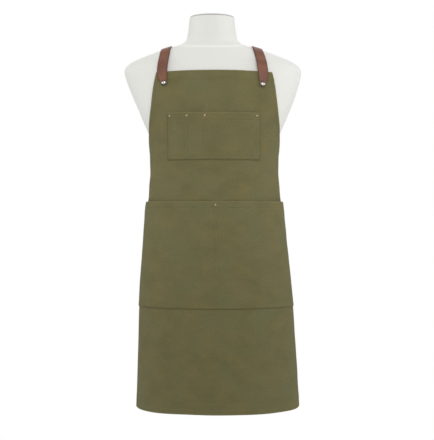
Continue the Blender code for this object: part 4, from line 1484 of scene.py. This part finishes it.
@dataclass
class LeatherStrap:
    """A strap from its stud on the bib, over the shoulder and through its buckle."""

    run: StrapRun
    form: BVHTree
    width: float = 0.027
    thick: float = 2.0 * MM
    tip_width: float = 0.012
    taper: float = 0.026
    past_stud: float = 0.006
    on_cloth: float = 2.7 * MM
    on_form: float = 2.3 * MM
    crossing: float = 3.6 * MM
    spread: float = 0.080
    tail: float = 0.056
    on_tab: float = 7.5 * MM
    tip_length: float = 7.5 * MM
    buckle_part: float = 0.10
    slot: tuple[float, float, float] = (0.016, 0.0034, 0.012)
    slot_at: tuple[float, float, float] = (-0.005, 0, 0.003)
    hole_count: int = 5
    hole_pitch: float = 0.020
    first_hole: float = 0.050
    hole_radius: float = 1.9 * MM

    @property
    def route(self) -> StrapRoute:
        """This side's route."""
        return ROUTES[self.run.side]

    def stations(self) -> Line:
        """Centre points and outward directions along the strap, from its front tip."""
        side = self.run.side.value
        across, height = self.route.front[0]
        front = ((across, height - self.past_stud), *self.route.front)
        stations = [self.run.cloth.seat(side * across, height, self.on_cloth) for across, height in front]
        spots = [Vector((side * x, y, z)) for x, y, z in self.route.shoulder + self.route.back]
        for spot in spline_through(spots, 26)[0]:
            contact, normal, _, _ = self.form.find_nearest(spot)
            stations.append((contact + normal * (self.on_form + self.rise(spot)), normal))
        bar, out = self.run.bar, self.run.bar.to_3x3().col[2]
        weave = ((-30, -2.9), (-22, -2.9), (-18, -2.4), (-11, 0.9), (-5, 3.8), (0, 5.0), (5, 5.0))
        stations += [(bar @ Vector((along * MM, 0, up * MM)), out) for along, up in weave]
        past = (0.018, 0.030, self.tail - 0.012, self.tail)
        stations += [self.run.station(distance, self.on_tab) for distance in past]
        return stations

    def rise(self, point: Vector) -> float:
        """Extra height of the right strap where it passes over the left one.

        Args:
            point: A point near the strap's middle.

        Returns:
            The extra height, 0 away from the crossing.
        """
        if self.run.side is Side.LEFT or point.y < 0:
            return 0.0
        away = math.hypot(point.x, point.z - self.route.back[-2][2]) / self.spread
        return self.crossing * max(0.0, 1 - away**2) ** 2

    def build(self) -> bpy.types.Object:
        """Makes the strap, with the slot for its prong and its row of spare holes."""
        stations = self.stations()
        knots = [point for point, _ in stations]
        _, length = spline_through(knots, 2)
        tip = list(self.tip_length * (1 - np.cos(np.linspace(0, math.pi / 2, 9))))
        clear = self.tip_length + 1.5 * MM
        body = list(np.linspace(clear, length - self.buckle_part, 170, endpoint=False))
        buckle = list(np.linspace(length - self.buckle_part, length - clear, 80))
        even = tip + body + buckle + [length - s for s in reversed(tip)]
        centres, _ = spline_through(knots, even)
        places = np.array([tuple(point) for point in knots])
        outs = np.array([tuple(out) for _, out in stations])
        normals, widths = [], []
        for s, centre in zip(even, centres):
            near = np.exp(-((np.linalg.norm(places - np.array(centre), axis=1) / 0.016) ** 2))
            normals.append(Vector((near[:, None] * outs).sum(axis=0)).normalized())
            wide = self.tip_width + (self.width - self.tip_width) * min(1.0, s / self.taper)
            end = min(s, length - s, self.tip_width / 2)
            widths.append(wide * math.sqrt(max(0.02, 1 - (1 - 2 * end / self.tip_width) ** 2)))
        name = f"strap_leather_{self.run.side.word}"
        band = band_mesh(name, centres, normals, widths, self.thick)
        first = length - self.tail - self.first_hole
        spots = [int(np.searchsorted(even, first - self.hole_pitch * i)) for i in range(self.hole_count)]
        mesh = cut_away(band, self.holes([(centres[i], normals[i]) for i in spots]))
        strap = add_piece(name, mesh, LEATHER.material)
        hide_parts(f"strap_{self.run.side.word}")
        LOG.info("%s: %.0f mm long", name, length / MM)
        return strap

    def holes(self, spots: Line) -> bmesh.types.BMesh:
        """Cutters of the prong's slot and of the spare holes before the buckle.

        Args:
            spots: Place and outward direction of each spare hole.

        Returns:
            The cutters in one mesh.
        """
        cutter = slot_cutter(self.slot, self.run.bar @ Matrix.Translation(self.slot_at))
        for centre, normal in spots:
            turn = normal.to_track_quat("Z", "Y").to_matrix().to_4x4()
            bmesh.ops.create_cone(
                cutter, cap_ends=True, segments=16, radius1=self.hole_radius, radius2=self.hole_radius,
                depth=0.008, matrix=Matrix.Translation(centre) @ turn,
            )
        return cutter

    def stud_seat(self) -> tuple[Vector, Vector]:
        """Where the stud's cap stands on the strap."""
        lift = self.on_cloth + self.thick / 2 + 0.1 * MM
        across, height = self.route.front[0]
        return self.run.cloth.seat(self.run.side.value * across, height, lift)


@dataclass
class BuckleSet:
    """The buckle, its side tab and the keeper on one strap."""

    run: StrapRun
    width: float = 0.027
    tab_thick: float = 1.8 * MM
    tab_end: float = 0.080
    lower: float = 2.7 * MM
    upper: float = 4.9 * MM
    wire: float = 1.5 * MM
    inner: float = 0.0145
    length: float = 0.020
    prong: float = 1.0 * MM
    keeper_at: float = 0.023
    keeper_width: float = 0.009
    keeper_wall: float = 1.5 * MM
    keeper_play: float = 1.1 * MM
    keeper_round: float = 1.6 * MM
    strap_top: float = 8.5 * MM
    corner: float = 3.5 * MM
    wire_gap: float = 0.3 * MM
    tab_slot: tuple[float, float, float] = (0.011, 0.0055, 0.014)
    tab_tip: float = 0.009

    def tab(self) -> bpy.types.Object:
        """The leather tab, folded round the bar and riveted to the panel."""
        bar = self.run.bar
        fold = self.wire + self.wire_gap + self.tab_thick / 2
        near = (0.060, 0.040, 0.020, 0.010)
        stations = [self.run.station(distance, self.lower) for distance in (self.tab_end, *near)]
        for degrees in range(-70, -291, -20):
            angle = math.radians(degrees)
            out = Vector((math.cos(angle), 0, math.sin(angle)))
            stations.append((bar @ (out * fold), bar.to_3x3() @ -out))
        stations += [self.run.station(distance, self.upper) for distance in (*near[::-1], self.tab_end)]
        knots = [point for point, _ in stations]
        _, length = spline_through(knots, 2)
        leaf = np.linspace(0.007, self.tab_end - 0.004, 24, endpoint=False)
        tip = 0.0065 * (1 - np.cos(np.linspace(0, math.pi / 2, 7)))
        turn = np.linspace(self.tab_end - 0.004, length - self.tab_end + 0.004, 30)
        even = [*tip, *leaf, *turn, *(length - leaf[::-1]), *(length - tip[::-1])]
        fine, _ = spline_through(knots, even)
        outs, widths = [], []
        for i, (s, point) in enumerate(zip(even, fine)):
            past = max(0.0, (point - bar.translation).dot(bar.to_3x3().col[0]))
            sideways = self.run.frame(past).to_3x3().col[1]
            outs.append(sideways.cross(fine[min(i + 1, len(fine) - 1)] - fine[max(i - 1, 0)]).normalized())
            end = min(s, length - s, self.tab_tip) / self.tab_tip
            widths.append(self.width * (0.55 + 0.45 * math.sqrt(1 - (1 - end) ** 2)))
        name = f"tab_leather_{self.run.side.word}"
        band = band_mesh(name, fine, outs, widths, self.tab_thick)
        mesh = cut_away(band, slot_cutter(self.tab_slot, bar))
        tab = add_piece(name, mesh, LEATHER.material)
        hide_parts(f"side_tab_{self.run.side.word}")
        return tab

    def ring(self) -> bpy.types.Object:
        """The buckle's frame: a wire rectangle with rounded corners."""
        path = []
        radius = self.corner
        side = self.inner + self.wire - radius
        near, far = -radius, radius - self.length
        for x, y, start in ((near, side, 0), (far, side, 90), (far, -side, 180), (near, -side, 270)):
            for i in range(9):
                angle = math.radians(start + 90 * i / 8)
                spot = Vector((x + radius * math.cos(angle), y + radius * math.sin(angle), 0))
                path.append(self.run.bar @ spot)
        name = f"buckle_ring_{self.run.side.word}"
        mesh = wire_mesh(name, path, [self.wire] * len(path), closed=True)
        ring = add_piece(name, mesh, NICKEL.material)
        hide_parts(f"buckle_frame_{self.run.side.word}")
        return ring

    def tongue(self) -> bpy.types.Object:
        """The prong: a wire looped round the bar, drawn finer to its tip."""
        loop = self.wire + self.prong + self.wire_gap
        far, raised = -self.length, loop + 0.2 * MM
        leg = [(far - 2.2 * MM, loop - 0.3 * MM), (far - 1 * MM, loop), (far, loop)]
        leg += [(-14 * MM, raised), (-6 * MM, raised)]
        sizes = [0.55, 0.8, 0.92, 1.0, 1.0]
        for degrees in range(90, -151, -10):
            angle = math.radians(degrees)
            leg.append((loop * math.cos(angle), loop * math.sin(angle)))
            sizes.append(1.0)
        path = [self.run.bar @ Vector((x, 0, z)) for x, z in leg]
        word = self.run.side.word
        mesh = wire_mesh(f"buckle_tongue_{word}", path, [self.prong * size for size in sizes])
        tongue = add_piece(f"buckle_tongue_{word}", mesh, NICKEL.material, f"prong_{word}")
        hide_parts(f"buckle_prong_{word}")
        return tongue

    def keeper(self) -> bpy.types.Object:
        """The leather loop that holds the strap's tail down on the tab."""
        place = self.run.frame(self.keeper_at)
        wall, radius = self.keeper_wall, self.keeper_round
        low = self.lower - self.tab_thick / 2 - self.keeper_play - wall / 2
        high = self.strap_top + self.keeper_play + wall / 2
        half = self.width / 2 + self.keeper_play + wall / 2
        centres, outs = [], []
        corners = ((half - radius, high - radius, 0), (radius - half, high - radius, 90),
                   (radius - half, low + radius, 180), (half - radius, low + radius, 270))
        for i, (y, z, start) in enumerate(corners):
            for degrees in range(start, start + 91, 15):
                angle = math.radians(degrees)
                out = Vector((0, math.cos(angle), math.sin(angle)))
                centres.append(place @ (Vector((0, y, z)) + out * radius))
                outs.append((place.to_3x3() @ out).normalized())
            y_next, z_next, start_next = corners[(i + 1) % 4]
            angle = math.radians(start_next)
            out = Vector((0, math.cos(angle), math.sin(angle)))
            first, last = centres[-1], place @ (Vector((0, y_next, z_next)) + out * radius)
            for share in (0.25, 0.5, 0.75):
                centres.append(first.lerp(last, share))
                outs.append(outs[-1])
        word = self.run.side.word
        name = f"keeper_leather_{word}"
        mesh = band_mesh(name, centres, outs, [self.keeper_width] * len(centres), wall, closed=True)
        keeper = add_piece(name, mesh, LEATHER.material, f"keeper_{word}")
        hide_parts(f"strap_keeper_{word}")
        return keeper

    def rivet_seat(self) -> tuple[Vector, Vector]:
        """Where the tab's rivet stands."""
        return self.run.station(self.run.length, self.upper + self.tab_thick / 2 + 0.1 * MM)

    def build(self) -> None:
        """Makes the tab, the ring, the tongue and the keeper."""
        for make in (self.tab, self.ring, self.tongue, self.keeper):
            LOG.info("%s", make().name)


# ---------------------------------------------------------------- dress form


@dataclass
class DressForm:
    """The padded form in its jersey cover, on its plywood board."""

    shape: LevelShape = FORM_SHAPE
    columns: int = 144
    seam_depth: float = 0.6 * MM
    piping_height: float = 0.8 * MM
    seam_width: float = 0.012
    side_seam: float = 1.66
    piping_width: float = 2.6 * MM
    neck_seam: float = 0.684
    neck_dip: float = 0.020
    fine_part: tuple[float, float] = (0.60, 0.72)

    def heights(self) -> np.ndarray:
        """Heights of the rings, close together over the shoulders and the neck seam."""
        bottom, top = self.shape.stations[0][0], self.shape.stations[-1][0]
        first, last = self.fine_part
        runs = ((bottom, first, 6 * MM), (first, last, 1.6 * MM), (last, top, 4 * MM))
        return np.concatenate([*(np.arange(*run) for run in runs), [top]])

    def build(self) -> bpy.types.Object:
        """Makes the cover with its side and back seams and its neck piping."""
        heights = self.heights()
        angles = np.linspace(-math.pi, math.pi, self.columns, endpoint=False)
        angle, height = np.meshgrid(angles, heights)
        x, y = self.shape.points(height, angle)
        neck = self.neck_seam - self.neck_dip * np.cos(angle)
        piping = ridge(height - neck, self.piping_width)
        lines = [ridge(np.abs(angle) - at, self.seam_width) for at in (math.pi, self.side_seam)]
        seams = np.maximum(*lines) * (height < neck)
        points = np.stack([x, y, height], axis=-1)
        around = np.roll(points, -1, axis=1) - np.roll(points, 1, axis=1)
        upward = np.gradient(points, axis=0)
        out = np.cross(around, upward)
        out /= np.linalg.norm(out, axis=-1, keepdims=True) + 1e-12
        points = points + out * (piping * self.piping_height - seams * self.seam_depth)[..., None]
        rows = len(heights)
        faces = grid_faces(rows, self.columns, closed=True).tolist()
        faces.append(list(range(self.columns))[::-1])
        faces.append([(rows - 1) * self.columns + i for i in range(self.columns)])
        mesh = face_out(mesh_from("form_cover", points.reshape(-1, 3), faces))
        set_attribute(mesh, "seam", seams)
        set_attribute(mesh, "piping", piping)
        cover = add_piece("form_cover", mesh, JERSEY.material)
        mesh.set_sharp_from_angle(angle=math.radians(50))
        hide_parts("form_torso")
        LOG.info("form_cover: %d faces", len(mesh.polygons))
        return cover

    def dress_fixed(self) -> None:
        """Gives the board, its screws and the neck cap their finishes."""
        finishes = {"base_board": PLYWOOD, "neck_cap": FELT}
        finishes |= {f"board_screw_{i}": STEEL for i in range(1, 5)}
        for node, finish in finishes.items():
            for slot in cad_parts[node].material_slots:
                slot.material = finish.material

    def surface(self) -> BVHTree:
        """The form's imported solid, to lay the straps on."""
        bm = bmesh.new()
        bm.from_mesh(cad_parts["form_torso"].data)
        bmesh.ops.remove_doubles(bm, verts=bm.verts, dist=1e-5)
        tree = BVHTree.FromBMesh(bm)
        bm.free()
        return tree


# ---------------------------------------------------------------- studio


@dataclass(frozen=True)
class Softbox:
    """A square soft light aimed at the apron."""

    name: str
    place: tuple[float, float, float]
    size: float
    power: float

    def build(self, target: Vector) -> None:
        """Hangs the light and turns it to the target."""
        light = bpy.data.lights.new(self.name, "AREA")
        light.size = self.size
        light.energy = self.power
        holder = bpy.data.objects.new(self.name, light)
        bpy.context.scene.collection.objects.link(holder)
        holder.location = self.place
        holder.rotation_euler = (target - Vector(self.place)).to_track_quat("-Z", "Y").to_euler()


@dataclass
class Studio:
    """White surroundings, pale floor, soft lights and the level camera."""

    distance: float = 2.88
    view_height: float = 1.144
    eye_height: float = 0.221
    aside: float = 0.0070
    floor: float = -0.80
    floor_radius: float = 2.0
    world_light: float = 0.58
    aim_height: float = 0.25
    boxes: tuple[Softbox, ...] = (
        Softbox("key_light", (0.2, -2.0, 1.5), 1.5, 21.0),
        Softbox("left_light", (-2.6, -0.1, 0.9), 1.6, 20.0),
        Softbox("right_light", (2.6, -0.2, 0.9), 1.6, 22.0),
        Softbox("back_light", (0.0, 2.6, 1.6), 2.4, 24.0),
    )

    def build(self) -> None:
        """Makes the floor, the surroundings, the lights and the camera."""
        self.make_floor()
        self.make_world()
        for box in self.boxes:
            box.build(Vector((0, 0, self.aim_height)))
        camera = bpy.data.cameras.new("camera")
        camera.sensor_width = 36.0
        camera.lens = camera.sensor_width * self.distance / self.view_height
        holder = bpy.data.objects.new("camera", camera)
        bpy.context.scene.collection.objects.link(holder)
        holder.location = (self.aside, -self.distance, self.eye_height)
        holder.rotation_euler = (math.pi / 2, 0, 0)
        bpy.context.scene.camera = holder
        bpy.context.scene.view_settings.view_transform = "Standard"

    def make_floor(self) -> None:
        """A round pale floor under the object."""
        bm = bmesh.new()
        bmesh.ops.create_circle(bm, cap_ends=True, segments=96, radius=self.floor_radius)
        bmesh.ops.translate(bm, vec=(0, 0, self.floor), verts=bm.verts)
        mesh = bpy.data.meshes.new("floor")
        bm.to_mesh(mesh)
        bm.free()
        shader = ShaderBuilder("pale_floor")
        place = shader.add("TexCoord").outputs["Object"]
        grain = shader.noise(place, 60.0, 3.0)
        lively = shader.ramp(grain, 0.3, 0.7, 0.0, 1.0)
        shade = shader.tint(lively, opaque((0.86,) * 3), opaque((0.90,) * 3))
        mesh.materials.append(shader.finish(shade, 0.8, grain, 0.1 * MM))
        floor = bpy.data.objects.new("floor", mesh)
        bpy.context.scene.collection.objects.link(floor)

    def make_world(self) -> None:
        """White to the eye, and a softer white as light."""
        world = bpy.data.worlds.new("studio")
        bpy.context.scene.world = world
        world.use_nodes = True
        nodes, links = world.node_tree.nodes, world.node_tree.links
        background = nodes["Background"]
        background.inputs["Color"].default_value = (1, 1, 1, 1)
        seen = nodes.new("ShaderNodeLightPath")
        level = nodes.new("ShaderNodeMapRange")
        level.inputs["To Min"].default_value = self.world_light
        level.inputs["To Max"].default_value = 1.0
        links.new(seen.outputs["Is Camera Ray"], level.inputs["Value"])
        links.new(level.outputs["Result"], background.inputs["Strength"])


# ---------------------------------------------------------------- assembly


def make_pockets(panel: BibPanel) -> list[PatchPocket]:
    """The chest pocket with its two pen slots, and the wide lap pocket.

    Args:
        panel: The panel that they are sewn to.

    Returns:
        The two pockets.
    """
    inset = 0.010
    chest = PatchPocket(
        "pocket_chest", "chest_pocket", panel, 0.372, 0.4895,
        left=lambda height: np.full_like(height, -0.1203, dtype=float),
        right=lambda height: np.full_like(height, 0.1178, dtype=float),
        rivets=((-0.1125, 0.4815), (-0.0690, 0.4815), (-0.0236, 0.4815), (0.1082, 0.4815)),
        dividers=(-0.0755, -0.0270), mouth_hem=0.018, gape=0.7 * MM, columns=170, rows=90,
    )
    lap = PatchPocket(
        "pocket_lap", "lower_pocket", panel, 0.0, 0.267,
        left=lambda height: panel.shift(height) - panel.half(height) + inset,
        right=lambda height: panel.shift(height) + panel.half(height) - inset,
        rivets=((-0.212, 0.261), (0.0025, 0.258), (0.214, 0.263)),
        dividers=(-0.0015,), mouth_hem=0.016, gape=1.0 * MM, side_gape=2.6 * MM, columns=240, rows=120,
    )
    return [chest, lap]


def rivet_profile(radius: float = 3.2 * MM) -> list[tuple[float, float]]:
    """Outline of a small domed rivet head on a flat rim, top to bottom."""
    turns = [math.radians(degrees) for degrees in range(6, 91, 12)]
    crown = [(0.74 * radius * math.sin(turn), (0.5 + math.cos(turn)) * MM) for turn in turns]
    edge = [(0.80 * radius, 0.5 * MM), (0.93 * radius, 0.6 * MM), (radius, 0.4 * MM), (0.97 * radius, 0)]
    return crown + edge + [(0.3 * radius, -0.4 * MM)]


def stud_profile(radius: float = 7.4 * MM) -> list[tuple[float, float]]:
    """Outline of a strap stud, a high dome that stands in a dished flange, top to bottom."""
    dome = 0.60 * radius
    turns = [math.radians(degrees) for degrees in range(5, 91, 8)]
    crown = [(dome * math.sin(turn), (0.7 + 2.4 * math.cos(turn)) * MM) for turn in turns]
    flange = [(0.64 * radius, 0.25 * MM), (0.70 * radius, 0.2 * MM), (0.80 * radius, 0.6 * MM),
              (0.90 * radius, 1.0 * MM), (0.97 * radius, 0.95 * MM), (radius, 0.6 * MM),
              (0.97 * radius, 0.2 * MM)]
    return crown + flange + [(0.3 * radius, -0.4 * MM)]


def turned_head(
    name: str, profile: Sequence[tuple[float, float]], steps: int, shade_radii: tuple[float, float],
) -> bpy.types.Mesh:
    """A turned head with painted shade on it between two radii.

    Args:
        name: The mesh's name.
        profile: The outline, top to bottom.
        steps: How many faces go round.
        shade_radii: The two radii between which shade is painted.

    Returns:
        The mesh, with its attribute of painted shade.
    """
    mesh = lathe_mesh(name, profile, steps)
    radii = np.array([math.hypot(vert.co.x, vert.co.y) for vert in mesh.vertices])
    blur = 0.3 * MM
    # Painted shade: 1 between the two radii, fading over the blur.
    inside = smooth_step((radii - shade_radii[0]) / blur) * smooth_step((shade_radii[1] - radii) / blur)
    set_attribute(mesh, "hollow", inside)
    return mesh


def main() -> None:
    """Builds every sub-assembly in order."""
    logging.basicConfig(level=logging.INFO, format="%(name)s: %(message)s")
    cloth = ClothSurface()
    form = DressForm()
    form.build()
    form.dress_fixed()
    surface = form.surface()

    panel = BibPanel(cloth)
    panel_piece = panel.build()
    machine, press = SewingMachine(), RivetPress()
    hems = machine.sew("hem_stitching", panel.stitch_lines(), Thread.SEAM)
    panel.area()

    brass_seats: Line = []
    brass_nodes: list[str] = []
    for pocket in make_pockets(panel):
        piece = pocket.build()
        stitching = machine.sew(f"{pocket.name}_stitching", pocket.stitch_lines(), Thread.FINE)
        pocket.flat()
        brass_seats += pocket.seats()
    brass_nodes += [f"chest_rivet_{i}" for i in range(1, 5)]
    brass_nodes += [f"pocket_rivet_{word}" for word in ("left", "centre", "right")]

    stud_seats: Line = []
    for side in Side:
        run = StrapRun(side, cloth)
        strap = LeatherStrap(run, surface)
        strap.build()
        stud_seats.append(strap.stud_seat())
        buckle = BuckleSet(run)
        buckle.build()
        brass_seats.append(buckle.rivet_seat())
        brass_nodes.append(f"tab_rivet_{side.word}")
    # Shade is painted in the ring between the rivet's crown and its rim.
    brass_head = turned_head("brass_head", rivet_profile(), 24, (2.2 * MM, 2.9 * MM))
    rivets = press.press("brass_rivets", brass_head, brass_seats, BRASS)
    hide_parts(*brass_nodes)
    # Shade is painted over the stud's whole flange, round the foot of its dome.
    stud_head = turned_head("stud_head", stud_profile(), 48, (4.3 * MM, 8.0 * MM))
    studs = press.press("strap_studs", stud_head, stud_seats, NICKEL)
    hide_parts("strap_stud_left", "strap_stud_right")

    Studio().build()


if __name__ == "__main__":
    main()
